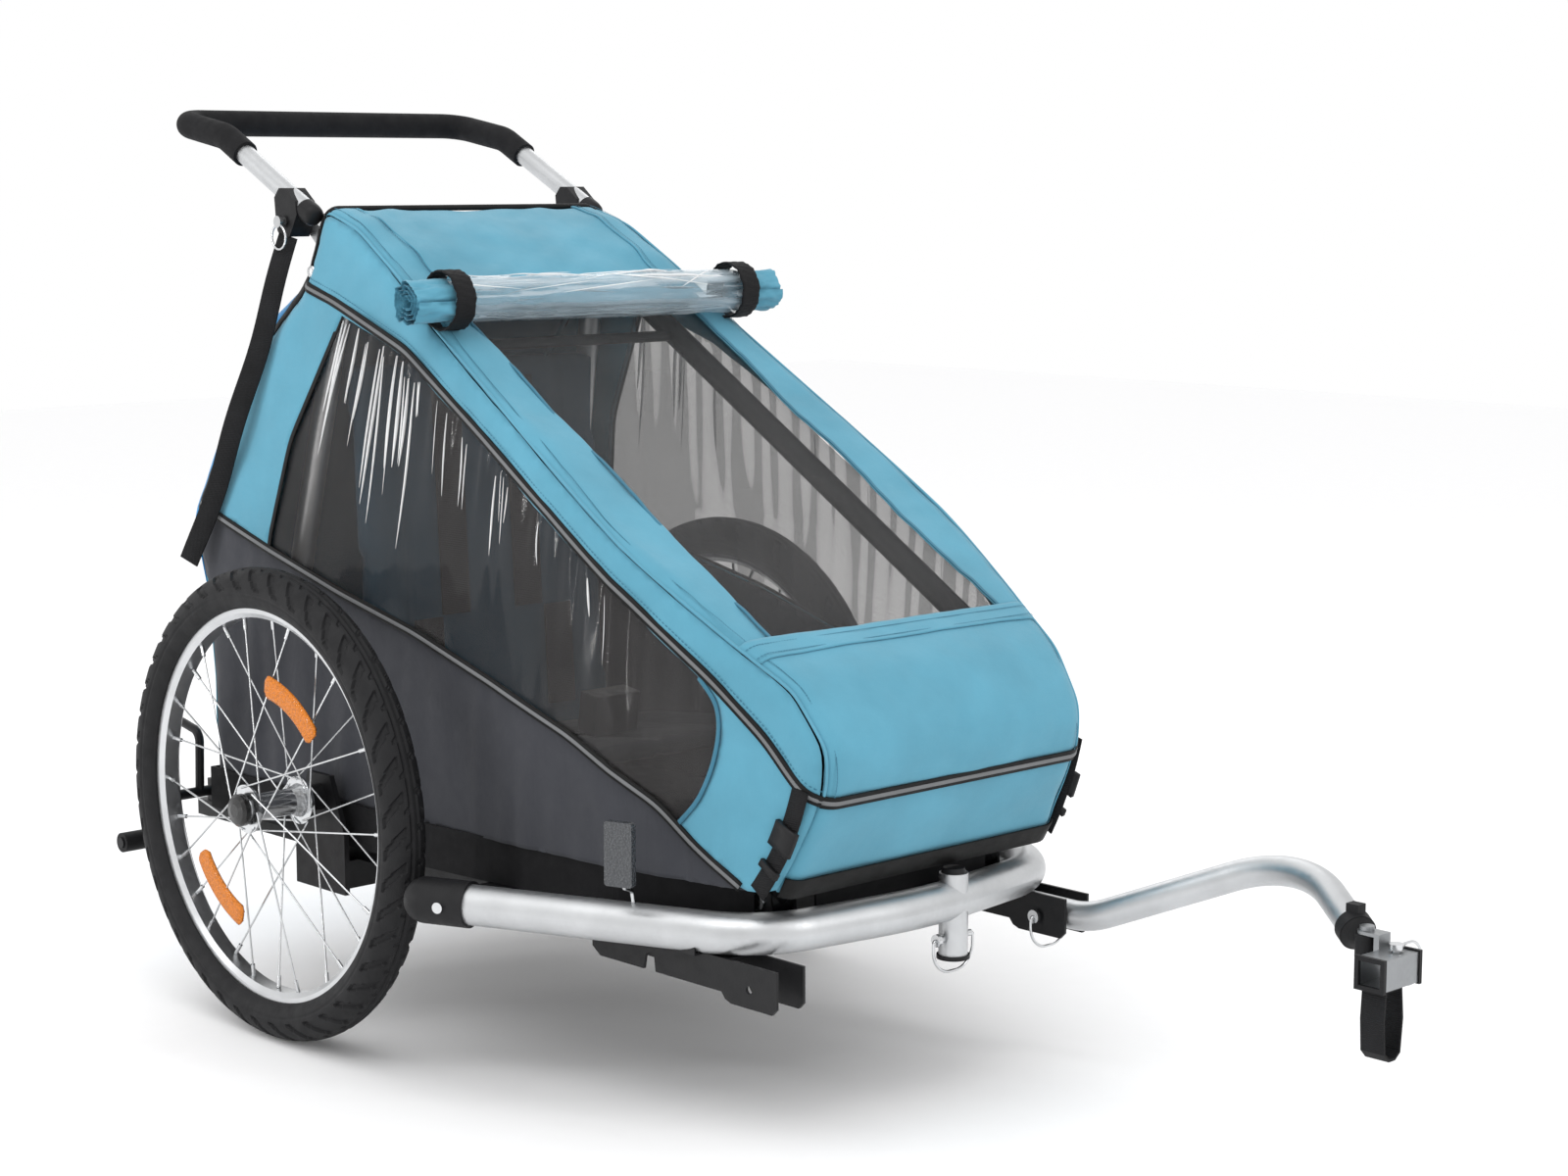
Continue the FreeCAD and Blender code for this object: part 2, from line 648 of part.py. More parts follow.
def make_grip():
    """Foam sleeve round the handle's crossbar and both corners."""
    points = handle_points()
    down = (points[0] - points[1]).normalize()
    trimmed = [points[1] + down * 42] + points[1:5] + [vec(points[1].x, HANDLE_Y, points[1].z) + down * 42]
    sleeve = bent_tube(trimmed, [60, 26, 26, 60], GRIP_RADIUS)
    return sleeve.cut(bent_tube(points, [60, 26, 26, 60], HANDLE_RADIUS))


def make_handle_brackets():
    """End fittings clamped on the handle tube, hung on the pins beside the hoop's lugs."""
    x, z = HANDLE_PIVOT
    points = handle_points()
    outline = [(x - 14, z - 10), (x - 8, z - 16), (x + 8, z - 16), (x + 15, z - 6), (x + 23, z + 8), (x + 20, z + 22),
               (x + 2, z + 36), (x - 10, z + 36), (x - 19, z + 26), (x - 17, z + 5)]
    fitting = side_plate(outline, (-208, -182.2))
    fitting = fitting.cut(bent_tube(points, [60, 26, 26, 60], HANDLE_RADIUS))
    fitting = fitting.cut(rod(4.0 + RUNNING, vec(x, -215, z), vec(x, -175, z)))
    return group([fitting, mirrored(fitting)])


def make_handle_pin(side):
    """Retaining pin with its wire bail hanging outside the bracket."""
    x, z = HANDLE_PIVOT
    shank = rod(4.0, vec(x, side * 174.0, z), vec(x, side * 214.0, z))
    head = rod(6.5, vec(x, side * 210.0, z), vec(x, side * 218.0, z))
    ring = Part.makeTorus(13.0, 1.3, vec(x, side * 216.0, z - 16.5), vec(0, 1, 0))
    return joined([shank, head, ring])


def make_wrist_strap():
    """Webbing that hangs from the right bracket along the body's rear corner."""
    upper, lower = vec(-133, -211, 836), vec(-246, -262, 478)
    along = (lower - upper).normalize()
    across = along.cross(vec(0.35, -0.93, 0)).normalize()
    corners = [upper - across * 15, upper + across * 15, lower + across * 15, lower - across * 15]
    normal = along.cross(across).normalize()
    return Part.Face(Part.makePolygon(corners + corners[:1])).extrude(normal * 2.0)


# ---------------------------------------------------------------- parking brake

BRAKE_SHAFT = (-262.0, 212.0)
BRAKE_PAD = (-282.0, 164.0)
BRAKE_ARM_Y = 300.0


def make_brake_bar():
    """Cross shaft behind the floor, an arm down to each tyre and a hand lever on the right."""
    x, z = BRAKE_SHAFT
    pad_x, pad_z = BRAKE_PAD
    parts = [rod(6.0, vec(x, -BRAKE_ARM_Y, z), vec(x, BRAKE_ARM_Y, z))]
    for side in (-1, 1):
        y = side * BRAKE_ARM_Y
        parts.append(Part.makeSphere(6.0, vec(x, y, z)))
        parts.append(rod(6.0, vec(x, y, z), vec(pad_x, y, pad_z)))
        parts.append(Part.makeSphere(6.0, vec(pad_x, y, pad_z)))
        parts.append(rod(6.0, vec(pad_x, y, pad_z), vec(pad_x, side * 342.0, pad_z)))
    lever = bent_tube([vec(x, -250, z), vec(x + 3, -250, 281), vec(x - 64, -250, 294)], [14], 5.0)
    parts.append(lever)
    return joined(parts)


def make_brake_pads():
    """Rubber sleeves that press on the tyres, and the lever's knob."""
    x, z = BRAKE_SHAFT
    pad_x, pad_z = BRAKE_PAD
    pads = [pipe(11.0, 6.0, vec(pad_x, side * 308.0, pad_z), vec(pad_x, side * 340.0, pad_z)) for side in (-1, 1)]
    tip = vec(x - 64, -250, 294)
    along = vec(-67, 0, 13).normalize()
    knob = joined([rod(8.0, tip - along * 18, tip + along * 2), Part.makeSphere(8.0, tip + along * 2)])
    pads.append(knob.cut(rod(5.0, tip - along * 20, tip)))
    return group(pads)


def brake_bearings():
    """Blocks on the side rails' rear ends that carry the brake shaft."""
    x, z = BRAKE_SHAFT
    bearing = block((x - 12, x + 12), (RAIL_Y - 8, RAIL_Y + 8), (RAIL_Z[1], z + 12))
    bearing = bearing.cut(rod(6.0 + RUNNING, vec(x, RAIL_Y - 20, z), vec(x, RAIL_Y + 20, z)))
    return [bearing, mirrored(bearing)]


# ---------------------------------------------------------------- drawbar and hitch

KINGPIN = vec(1000.0, 211.0, 194.0)


def drawbar_points():
    """Straight in the receiver, bent out and up round the rear wheel's side, then in to the kingpin."""
    outermost = vec(864, 296, 242)
    along = (KINGPIN - outermost).normalize()
    return [vec(455, 200, DRAWBAR_Z), vec(672, 200, DRAWBAR_Z), outermost, KINGPIN - along * 22]


def make_drawbar():
    tube = bent_tube(drawbar_points(), [70, 110], DRAWBAR_DIAMETER / 2, 2.5)
    x, z = RECEIVER_PIN
    tube = tube.cut(rod(4.0 + RUNNING, vec(x, 150, z), vec(x, 250, z)))
    return tube.cut(rod(4.9, vec(NOTCH_X, 150, DRAWBAR_Z), vec(NOTCH_X, 250, DRAWBAR_Z)))


def make_drawbar_fittings():
    """Cross bolt that hangs in the receiver's notches, with its head and nut outside the cheeks."""
    half = RECEIVER_INNER + RECEIVER_WALL + 0.5
    shank = rod(4.9, vec(NOTCH_X, RECEIVER_Y - half, DRAWBAR_Z), vec(NOTCH_X, RECEIVER_Y + half, DRAWBAR_Z))
    head = rod(8.0, vec(NOTCH_X, RECEIVER_Y + half, DRAWBAR_Z), vec(NOTCH_X, RECEIVER_Y + half + 4, DRAWBAR_Z))
    nut = rod(8.0, vec(NOTCH_X, RECEIVER_Y - half - 4, DRAWBAR_Z), vec(NOTCH_X, RECEIVER_Y - half, DRAWBAR_Z))
    return joined([shank, head, nut])


def make_coupling():
    """Black clamp on the drawbar's end, with the tapered rubber nose that ends in the kingpin's eye."""
    end = drawbar_points()[-1]
    along = (KINGPIN - end).normalize()
    sleeve = pipe(18.0, DRAWBAR_DIAMETER / 2, end - along * 14, end)
    taper = Part.makeCone(17.0, 8.0, 8.0, end, along)
    neck = rod(8.0, end + along * 7, KINGPIN)
    eye = rod(11.0, KINGPIN - vec(0, 0, 11), KINGPIN + vec(0, 0, 11))
    clamp = block((-7, 7), (-6, 6), (-6, 6))
    clamp.translate(end - along * 7 + vec(0, 0, 19))
    clamp = clamp.cut(rod(DRAWBAR_DIAMETER / 2, end - along * 40, end))
    whole = joined([sleeve, taper, neck, eye, clamp])
    return whole.cut(rod(4.0 + RUNNING, KINGPIN - vec(0, 0, 30), KINGPIN + vec(0, 0, 30)))


def make_hitch_block():
    """Steel box open on both ends, carried by a clevis round the kingpin's eye."""
    x, y, z = HITCH
    lx, ly, lz = (size / 2 for size in HITCH_SIZE)
    body = block((x - lx, x + lx), (y - ly, y + ly), (z - lz, z + lz))
    body = body.cut(block((x - lx + 3, x + lx - 3), (y - ly - 1, y + ly + 1), (z - lz + 3, z + lz - 3)))
    k = KINGPIN
    web = block((k.x + 14, x - lx), (k.y - 9, k.y + 9), (179.2, 208.8))
    top = joined([block((k.x, k.x + 14), (k.y - 9, k.y + 9), (205.6, 208.8)),
                  rod(9.0, vec(k.x, k.y, 205.6), vec(k.x, k.y, 208.8))])
    bottom = joined([block((k.x, k.x + 14), (k.y - 9, k.y + 9), (179.2, 182.4)),
                     rod(9.0, vec(k.x, k.y, 179.2), vec(k.x, k.y, 182.4))])
    kingpin = rod(4.0, vec(k.x, k.y, 177), vec(k.x, k.y, 211))
    kingpin_head = rod(7.0, vec(k.x, k.y, 208.8), vec(k.x, k.y, 213))
    whole = joined([body, web, top, bottom, kingpin, kingpin_head])
    return whole.cut(rod(4.0 + RUNNING, vec(x, y + 12, z - 30), vec(x, y + 12, z + 30)))


def make_hitch_flanges():
    """Black plastic frames on both open ends of the hitch block."""
    x, y, z = HITCH
    lx, ly, lz = (size / 2 for size in HITCH_SIZE)
    frames = []
    for side in (-1, 1):
        near, far = side * ly, side * (ly + 4)
        frame = block((x - lx - 1.5, x + lx + 1.5), (y + near, y + far), (z - lz - 1.5, z + lz + 1.5))
        frames.append(frame.cut(block((x - lx + 3, x + lx - 3), (y + near, y + far), (z - lz + 3, z + lz - 3))))
    return group(frames)


def make_hitch_pin():
    """Upright pin through the hitch block, with a wire bail that loops round the block's left end."""
    x, y, z = HITCH
    shank = rod(4.0, vec(x, y + 12, z - 24), vec(x, y + 12, z + 18))
    head = rod(7.0, vec(x, y + 12, z + 16.5), vec(x, y + 12, z + 22))
    wire = bent_tube([vec(x, y + 14, z + 19.5), vec(x, y + 52, z + 19.5), vec(x, y + 52, z - 21), vec(x, y + 33, z - 21)],
                     [18, 18], 1.5)
    return joined([shank, head, wire])


def make_safety_strap():
    """Webbing loop under the hitch block."""
    x, y, z = HITCH
    y -= 7.5
    top, bottom = z - HITCH_SIZE[2] / 2, 98.0
    outline = [(y - 14, top), (y + 12, top), (y + 15, top - 30), (y + 12, bottom + 6), (y + 4, bottom),
               (y - 6, bottom), (y - 14, bottom + 8), (y - 16, top - 30)]
    corners = [vec(x - 13, py, pz) for py, pz in outline]
    whole = Part.Face(Part.makePolygon(corners + corners[:1])).extrude(vec(26, 0, 0))
    hole = Part.makePolygon(corners + corners[:1]).makeOffset2D(-2.2, 2)
    return whole.cut(Part.Face(hole).extrude(vec(26, 0, 0)))


def cross_pin(x, y, z, half, radius):
    """Pin along Y with a blind hole in each end for its wire bail."""
    shank = rod(radius, vec(x, y - half, z), vec(x, y + half, z))
    head = rod(radius + 3, vec(x, y - half, z), vec(x, y - half + 4, z))
    pin = joined([shank, head])
    for side in (-1, 1):
        pin = pin.cut(rod(BAIL_WIRE + RUNNING, vec(x, y + side * (half - 5), z), vec(x, y + side * (half + 1), z)))
    return pin


def wire_bail(x, y, z, half, drop):
    """Wire loop that hangs from both ends of a pin and swings about it."""
    out = half + 3.0
    points = [vec(x, y - half + 4, z), vec(x, y - out, z), vec(x, y - out, z - drop), vec(x, y + out, z - drop),
              vec(x, y + out, z), vec(x, y + half - 4, z)]
    return bent_tube(points, [2.5, out * 0.85, out * 0.85, 2.5], BAIL_WIRE)


# ---------------------------------------------------------------- writing

def all_nodes():
    nodes = {}
    nodes["bumper_tube"] = make_bumper()
    nodes["bumper_end_caps"] = make_end_caps()
    nodes["side_rails"] = make_side_rails()
    nodes["axle_beam"] = make_axle_beam()
    nodes["cross_tubes"] = make_cross_tubes()
    nodes["receiver_right"] = make_receiver(-1)
    nodes["receiver_left"] = make_receiver(1)
    nodes["caster_socket"] = make_caster_socket()
    nodes["socket_rings"] = make_socket_rings()
    nodes["pivot_brackets"] = make_pivot_brackets()
    nodes["frame_hardware"] = make_hardware()
    nodes["front_reflectors"] = make_front_reflectors()
    nodes["axle_pins"] = make_axle_pins()
    nodes.update(fabric_nodes())
    nodes["rain_cover_roll"] = make_cover_roll()
    nodes["straps"] = make_straps()
    nodes["seat_back"] = make_seat_back()
    nodes["seat_base"] = make_seat_base()
    nodes["harness"] = make_harness()
    nodes["harness_buckle"] = make_harness_buckle()
    nodes["rear_hoop"] = make_rear_hoop()
    nodes["front_stays"] = make_front_stays()
    nodes["handle_tube"] = make_handle_tube()
    nodes["handle_grip"] = make_grip()
    nodes["handle_brackets"] = make_handle_brackets()
    nodes["wrist_strap"] = make_wrist_strap()
    nodes["handle_pin_right"] = make_handle_pin(-1)
    nodes["handle_pin_left"] = make_handle_pin(1)
    nodes.update(wheel_nodes("right", -1))
    nodes.update(wheel_nodes("left", 1))
    nodes["brake_bar"] = make_brake_bar()
    nodes["brake_pads"] = make_brake_pads()
    nodes["drawbar_tube"] = make_drawbar()
    nodes["drawbar_fittings"] = make_drawbar_fittings()
    nodes["hitch_coupling"] = make_coupling()
    nodes["hitch_block"] = make_hitch_block()
    nodes["hitch_pin"] = make_hitch_pin()
    nodes["hitch_flanges"] = make_hitch_flanges()
    nodes["safety_strap"] = make_safety_strap()
    x, z = RECEIVER_PIN
    nodes["drawbar_pin"] = cross_pin(x, RECEIVER_Y, z, PIN_HALF, 4.0)
    nodes["drawbar_bail"] = wire_bail(x, RECEIVER_Y, z, PIN_HALF, BAIL_DROP)
    nodes["socket_pin"] = cross_pin(SOCKET_X, SOCKET_Y, SOCKET_PIN_Z, PIN_HALF, 3.25)
    nodes["socket_bail"] = wire_bail(SOCKET_X, SOCKET_Y, SOCKET_PIN_Z, PIN_HALF, BAIL_DROP)
    return nodes


def main():
    os.makedirs("parts", exist_ok=True)
    for name, shape in all_nodes().items():
        shape.translate(vec(AXLE_X, 0, 0))
        shape.exportStep("parts/" + name + ".step")
        box = shape.BoundBox
        sizes = " ".join(f"{value:8.1f}" for value in (box.XMin, box.XMax, box.YMin, box.YMax, box.ZMin, box.ZMax))
        print(f"{name:20s} {len(shape.Solids):3d} solids  valid {shape.isValid()}  {sizes}  {shape.Volume / 1000:9.1f} cm3")


main()
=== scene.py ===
"""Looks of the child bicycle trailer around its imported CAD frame."""
import math
import random

import bpy
import numpy as np
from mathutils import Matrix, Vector, geometry, noise


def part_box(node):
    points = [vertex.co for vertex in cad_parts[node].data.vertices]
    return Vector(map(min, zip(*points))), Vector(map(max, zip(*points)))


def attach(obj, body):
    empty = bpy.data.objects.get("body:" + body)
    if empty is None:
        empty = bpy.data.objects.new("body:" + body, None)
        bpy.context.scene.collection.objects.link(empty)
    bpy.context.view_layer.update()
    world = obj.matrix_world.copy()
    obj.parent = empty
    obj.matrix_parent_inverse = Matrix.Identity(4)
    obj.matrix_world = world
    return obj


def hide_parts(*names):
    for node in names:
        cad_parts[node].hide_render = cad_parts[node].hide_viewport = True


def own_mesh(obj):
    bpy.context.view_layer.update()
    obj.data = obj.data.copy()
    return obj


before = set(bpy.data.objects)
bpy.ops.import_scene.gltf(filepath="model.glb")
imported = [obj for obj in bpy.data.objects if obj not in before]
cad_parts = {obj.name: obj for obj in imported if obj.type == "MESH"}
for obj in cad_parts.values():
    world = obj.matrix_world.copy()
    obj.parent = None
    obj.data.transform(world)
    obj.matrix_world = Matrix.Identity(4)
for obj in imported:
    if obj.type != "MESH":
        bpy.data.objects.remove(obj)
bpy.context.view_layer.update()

random.seed(7)
AXLE_X = -0.3434           # m, the axle in the row's frame
SIDES = ((-1, "right"), (1, "left"))
EDGE_ROUND = 24.0          # mm, rounding where the top fabric turns into the sides
SKIN = 0.0012             # m, cloth thickness


def at(x, y, z):
    """Millimetres counted from the axle, to metres in the row's frame."""
    return Vector((x / 1000 + AXLE_X, y / 1000, z / 1000))


# ---------------------------------------------------------------- materials

class Graph:
    """Small helper that wires one material's nodes."""

    def __init__(self, name):
        self.material = bpy.data.materials.new(name)
        self.material.use_nodes = True
        self.tree = self.material.node_tree
        self.shader = self.tree.nodes["Principled BSDF"]
        self.out = self.tree.nodes["Material Output"]

    def node(self, kind, **values):
        made = self.tree.nodes.new(kind)
        for key, value in values.items():
            if key in made.inputs:
                made.inputs[key].default_value = value
            else:
                setattr(made, key, value)
        return made

    def link(self, a, b):
        self.tree.links.new(a, b)

    def coords(self):
        return self.node("ShaderNodeTexCoord").outputs["Object"]

    def noise(self, scale, detail=3.0, rough=0.55):
        made = self.node("ShaderNodeTexNoise")
        made.inputs["Scale"].default_value = scale
        made.inputs["Detail"].default_value = detail
        made.inputs["Roughness"].default_value = rough
        self.link(self.coords(), made.inputs["Vector"])
        return made.outputs["Fac"]

    def ramp(self, fac, low, high, start=0.3, end=0.7):
        made = self.node("ShaderNodeValToRGB")
        made.color_ramp.elements[0].color = (*low, 1)
        made.color_ramp.elements[1].color = (*high, 1)
        made.color_ramp.elements[0].position = start
        made.color_ramp.elements[1].position = end
        self.link(fac, made.inputs["Fac"])
        return made.outputs["Color"]

    def spread(self, fac, low, high):
        made = self.node("ShaderNodeMapRange")
        made.inputs["From Min"].default_value = 0.3
        made.inputs["From Max"].default_value = 0.7
        made.inputs["To Min"].default_value = low
        made.inputs["To Max"].default_value = high
        self.link(fac, made.inputs["Value"])
        return made.outputs["Result"]

    def bump(self, height, strength, distance, onto=None):
        made = self.node("ShaderNodeBump")
        made.inputs["Strength"].default_value = strength
        made.inputs["Distance"].default_value = distance
        self.link(height, made.inputs["Height"])
        if onto is not None:
            self.link(onto, made.inputs["Normal"])
        return made.outputs["Normal"]

    def bands(self, scale, axis):
        made = self.node("ShaderNodeTexWave")
        made.wave_type = "BANDS"
        made.bands_direction = axis
        made.inputs["Scale"].default_value = scale
        self.link(self.coords(), made.inputs["Vector"])
        return made.outputs["Fac"]

    def math(self, kind, a, b):
        made = self.node("ShaderNodeMath")
        made.operation = kind
        self.link(a, made.inputs[0])
        if isinstance(b, (int, float)):
            made.inputs[1].default_value = b
        else:
            self.link(b, made.inputs[1])
        return made.outputs[0]


def shades(color, spread):
    return tuple(c * (1 - spread) for c in color), tuple(min(1.0, c * (1 + spread)) for c in color)


def cloth(name, color, rough=0.8, sheen=0.25, weave=300.0, worn=0.10):
    """Woven textile: thread bump, soft puckers and a faint uneven tone."""
    g = Graph(name)
    g.link(g.ramp(g.noise(9.0, 5.0), *shades(color, worn)), g.shader.inputs["Base Color"])
    g.link(g.spread(g.noise(60.0), rough - 0.06, rough + 0.08), g.shader.inputs["Roughness"])
    crossed = g.math("MAXIMUM", g.bands(weave, "Y"), g.bands(weave, "Z"))
    threads = g.math("MAXIMUM", g.bands(weave, "X"), crossed)
    fine = g.bump(threads, 0.25, 0.0004)
    g.link(g.bump(g.noise(45.0, 4.0), 0.25, 0.002, fine), g.shader.inputs["Normal"])
    g.shader.inputs["Sheen Weight"].default_value = sheen
    g.shader.inputs["Specular IOR Level"].default_value = 0.2
    return g.material


def metal(name, color, rough, grain=250.0, spread=0.06, bump=0.05):
    """Bare or polished metal with fine lengthwise grain and small smudges."""
    g = Graph(name)
    g.shader.inputs["Metallic"].default_value = 1.0
    g.link(g.ramp(g.noise(25.0), *shades(color, spread)), g.shader.inputs["Base Color"])
    g.link(g.spread(g.noise(grain, 4.0), max(0.04, rough - 0.06), rough + 0.07), g.shader.inputs["Roughness"])
    g.link(g.bump(g.noise(grain * 3, 2.0), bump, 0.0003), g.shader.inputs["Normal"])
    return g.material


def solid(name, color, rough, grain=400.0, bump=0.15, coat=0.0, spread=0.12):
    """Plastic, rubber or powder coat with a fine moulded grain and handling marks."""
    g = Graph(name)
    g.link(g.ramp(g.noise(30.0), *shades(color, spread)), g.shader.inputs["Base Color"])
    g.link(g.spread(g.noise(70.0), rough - 0.07, rough + 0.1), g.shader.inputs["Roughness"])
    g.link(g.bump(g.noise(grain, 3.0), bump, 0.0006), g.shader.inputs["Normal"])
    g.shader.inputs["Coat Weight"].default_value = coat
    g.shader.inputs["Specular IOR Level"].default_value = 0.25
    return g.material


def webbing(name, color):
    """Narrow woven tape with ribs across it."""
    g = Graph(name)
    g.link(g.ramp(g.noise(40.0), *shades(color, 0.3)), g.shader.inputs["Base Color"])
    g.shader.inputs["Roughness"].default_value = 0.72
    ribs = g.math("ADD", g.bands(160.0, "Z"), g.bands(420.0, "Y"))
    g.link(g.bump(ribs, 0.5, 0.0008), g.shader.inputs["Normal"])
    g.shader.inputs["Specular IOR Level"].default_value = 0.25
    return g.material


def see_through(name, tint, clear, gloss_rough, haze):
    """Thin clear vinyl: straight light passes, the surface shines and has a faint haze."""
    g = Graph(name)
    g.link(g.ramp(g.noise(12.0), *shades(haze, 0.15)), g.shader.inputs["Base Color"])
    g.link(g.spread(g.noise(35.0), gloss_rough, gloss_rough + 0.08), g.shader.inputs["Roughness"])
    g.shader.inputs["Coat Weight"].default_value = 0.6
    g.shader.inputs["Coat Roughness"].default_value = 0.03
    g.link(g.bump(g.noise(18.0, 2.0), 0.12, 0.004), g.shader.inputs["Normal"])
    through = g.node("ShaderNodeBsdfTransparent")
    through.inputs["Color"].default_value = (*tint, 1)
    facing = g.node("ShaderNodeLayerWeight")
    facing.inputs["Blend"].default_value = 0.25
    amount = g.node("ShaderNodeMapRange")
    amount.inputs["To Min"].default_value = 1 - clear
    amount.inputs["To Max"].default_value = 0.55
    g.link(facing.outputs["Fresnel"], amount.inputs["Value"])
    mix = g.node("ShaderNodeMixShader")
    g.link(amount.outputs["Result"], mix.inputs[0])
    g.link(through.outputs[0], mix.inputs[1])
    g.link(g.shader.outputs[0], mix.inputs[2])
    g.link(mix.outputs[0], g.out.inputs["Surface"])
    return g.material


def net(name, color, open_share):
    """Insect mesh: crossed threads about 1.4 mm apart with open cells."""
    g = Graph(name)
    g.link(g.ramp(g.noise(20.0), *shades(color, 0.2)), g.shader.inputs["Base Color"])
    g.shader.inputs["Roughness"].default_value = 0.7
    g.shader.inputs["Sheen Weight"].default_value = 0.2
    threads = g.math("MAXIMUM", g.bands(225.0, "X"), g.bands(225.0, "Y"))
    g.link(g.bump(threads, 0.4, 0.0005), g.shader.inputs["Normal"])
    amount = g.node("ShaderNodeMapRange")
    amount.inputs["From Min"].default_value = 0.0
    amount.inputs["From Max"].default_value = 1.0
    amount.inputs["To Min"].default_value = 1.0 - open_share - 0.25
    amount.inputs["To Max"].default_value = 1.0 - open_share + 0.25
    g.link(threads, amount.inputs["Value"])
    through = g.node("ShaderNodeBsdfTransparent")
    mix = g.node("ShaderNodeMixShader")
    g.link(amount.outputs["Result"], mix.inputs[0])
    g.link(through.outputs[0], mix.inputs[1])
    g.link(g.shader.outputs[0], mix.inputs[2])
    g.link(mix.outputs[0], g.out.inputs["Surface"])
    return g.material


def prism(name, color, scale, coat):
    """Moulded reflector: rows of small prisms behind a glossy face."""
    g = Graph(name)
    cells = g.node("ShaderNodeTexVoronoi")
    cells.inputs["Scale"].default_value = scale
    g.link(g.coords(), cells.inputs["Vector"])
    low, high = shades(color, 0.22)
    g.link(g.ramp(cells.outputs["Distance"], high, low, 0.1, 0.8), g.shader.inputs["Base Color"])
    g.link(g.bump(cells.outputs["Distance"], 0.7, 0.002), g.shader.inputs["Normal"])
    g.shader.inputs["Roughness"].default_value = 0.2
    g.shader.inputs["Specular IOR Level"].default_value = 0.3
    g.shader.inputs["Coat Weight"].default_value = coat
    return g.material


BLUE = (0.096, 0.305, 0.415)
M = {
    "blue": cloth("blue_cloth", BLUE, 0.72, 0.15),
    "flap": cloth("bright_blue_cloth", (0.012, 0.22, 0.50), 0.7),
    "grey": cloth("grey_cloth", (0.040, 0.042, 0.050), 0.75, 0.1),
    "black": cloth("black_cloth", (0.006, 0.006, 0.007), 0.7, 0.0),
    "inside": cloth("dark_lining", (0.010, 0.085, 0.150), 0.85, 0.0),
    "seat": cloth("seat_cloth", (0.012, 0.014, 0.018), 0.85, 0.05),
    "seat_blue": cloth("seat_side_cloth", (0.010, 0.050, 0.085), 0.85, 0.05),
    "binding": cloth("black_binding", (0.006, 0.006, 0.006), 0.55, 0.0, 500.0),
    "piping": cloth("grey_reflective_piping", (0.16, 0.165, 0.17), 0.42, 0.0, 500.0),
    "thread": cloth("sewing_thread", (0.045, 0.17, 0.25), 0.8, 0.1, 900.0),
    "webbing": webbing("black_webbing", (0.007, 0.007, 0.008)),
    "vinyl": see_through("clear_vinyl", (0.86, 0.85, 0.84), 0.87, 0.05, (0.22, 0.21, 0.21)),
    # Near-white, mostly opaque vinyl: a painted highlight for the bright streaks on the folds of the side
    # windows and the rolled film.
    "crease": see_through("vinyl_crease", (0.97, 0.97, 0.97), 0.25, 0.05, (0.86, 0.87, 0.88)),
    "film": see_through("rain_film", (0.97, 0.985, 0.99), 0.90, 0.03, (0.42, 0.50, 0.55)),
    "mesh": net("insect_mesh", (0.009, 0.009, 0.010), 0.52),
    "satin": metal("satin_aluminium", (0.56, 0.57, 0.58), 0.40),
    "rim": metal("rim_aluminium", (0.62, 0.63, 0.64), 0.34),
    "chrome": metal("bright_steel", (0.62, 0.63, 0.64), 0.20),
    "steel": metal("grey_steel", (0.30, 0.31, 0.32), 0.36),
    "powder": solid("black_powder_coat", (0.008, 0.008, 0.009), 0.42),
    "plastic": solid("black_plastic", (0.008, 0.008, 0.009), 0.5),
    "gloss": solid("black_gloss_plastic", (0.008, 0.008, 0.008), 0.25, coat=0.5),
    "foam": solid("foam_grip", (0.008, 0.008, 0.009), 0.85, 900.0, 0.5),
    "rubber": solid("rubber", (0.009, 0.009, 0.010), 0.62),
    "tyre": solid("tyre_rubber", (0.010, 0.010, 0.011), 0.62, 260.0, 0.25),
    "amber": prism("amber_reflector", (0.66, 0.185, 0.001), 520.0, 0.25),
    "clear": prism("clear_reflector", (0.05, 0.054, 0.06), 420.0, 0.6),
}

CAD_LOOKS = {
    "satin": ["bumper_tube", "rear_hoop", "handle_tube", "drawbar_tube", "caster_socket"],
    "rim": ["rim_right", "rim_left"],
    "powder": ["side_rails", "axle_beam", "cross_tubes", "receiver_right", "receiver_left", "front_stays",
               "brake_bar", "pivot_brackets"],
    "plastic": ["bumper_end_caps", "socket_rings", "handle_brackets", "harness_buckle", "hitch_flanges"],
    "chrome": ["frame_hardware", "axle_pins", "spokes_right", "spokes_left", "hub_right", "hub_left",
               "handle_pin_right", "handle_pin_left", "drawbar_fittings", "drawbar_pin", "drawbar_bail",
               "socket_pin", "socket_bail", "hitch_pin"],
    "steel": ["hitch_block"],
    "gloss": ["hub_cap_right", "hub_cap_left"],
    "foam": ["handle_grip"],
    "rubber": ["brake_pads", "hitch_coupling"],
    "amber": ["reflectors_right", "reflectors_left"],
    "clear": ["front_reflectors"],
    "webbing": ["harness", "safety_strap", "wrist_strap", "straps"],
    "black": ["floor_tub"],
    "grey": ["side_panel_right", "side_panel_left"],
    "blue": ["rear_panel", "canopy", "rain_cover_roll"],
    "mesh": ["mesh_window"],
    "vinyl": ["side_window_right", "side_window_left"],
    "seat_blue": ["seat_back"],
    "seat": ["seat_base"],
    "tyre": ["tyre_right", "tyre_left"],
}
for look, names in CAD_LOOKS.items():
    for node_name in names:
        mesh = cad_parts[node_name].data
        mesh.materials.clear()
        mesh.materials.append(M[look])


# ---------------------------------------------------------------- mesh helpers

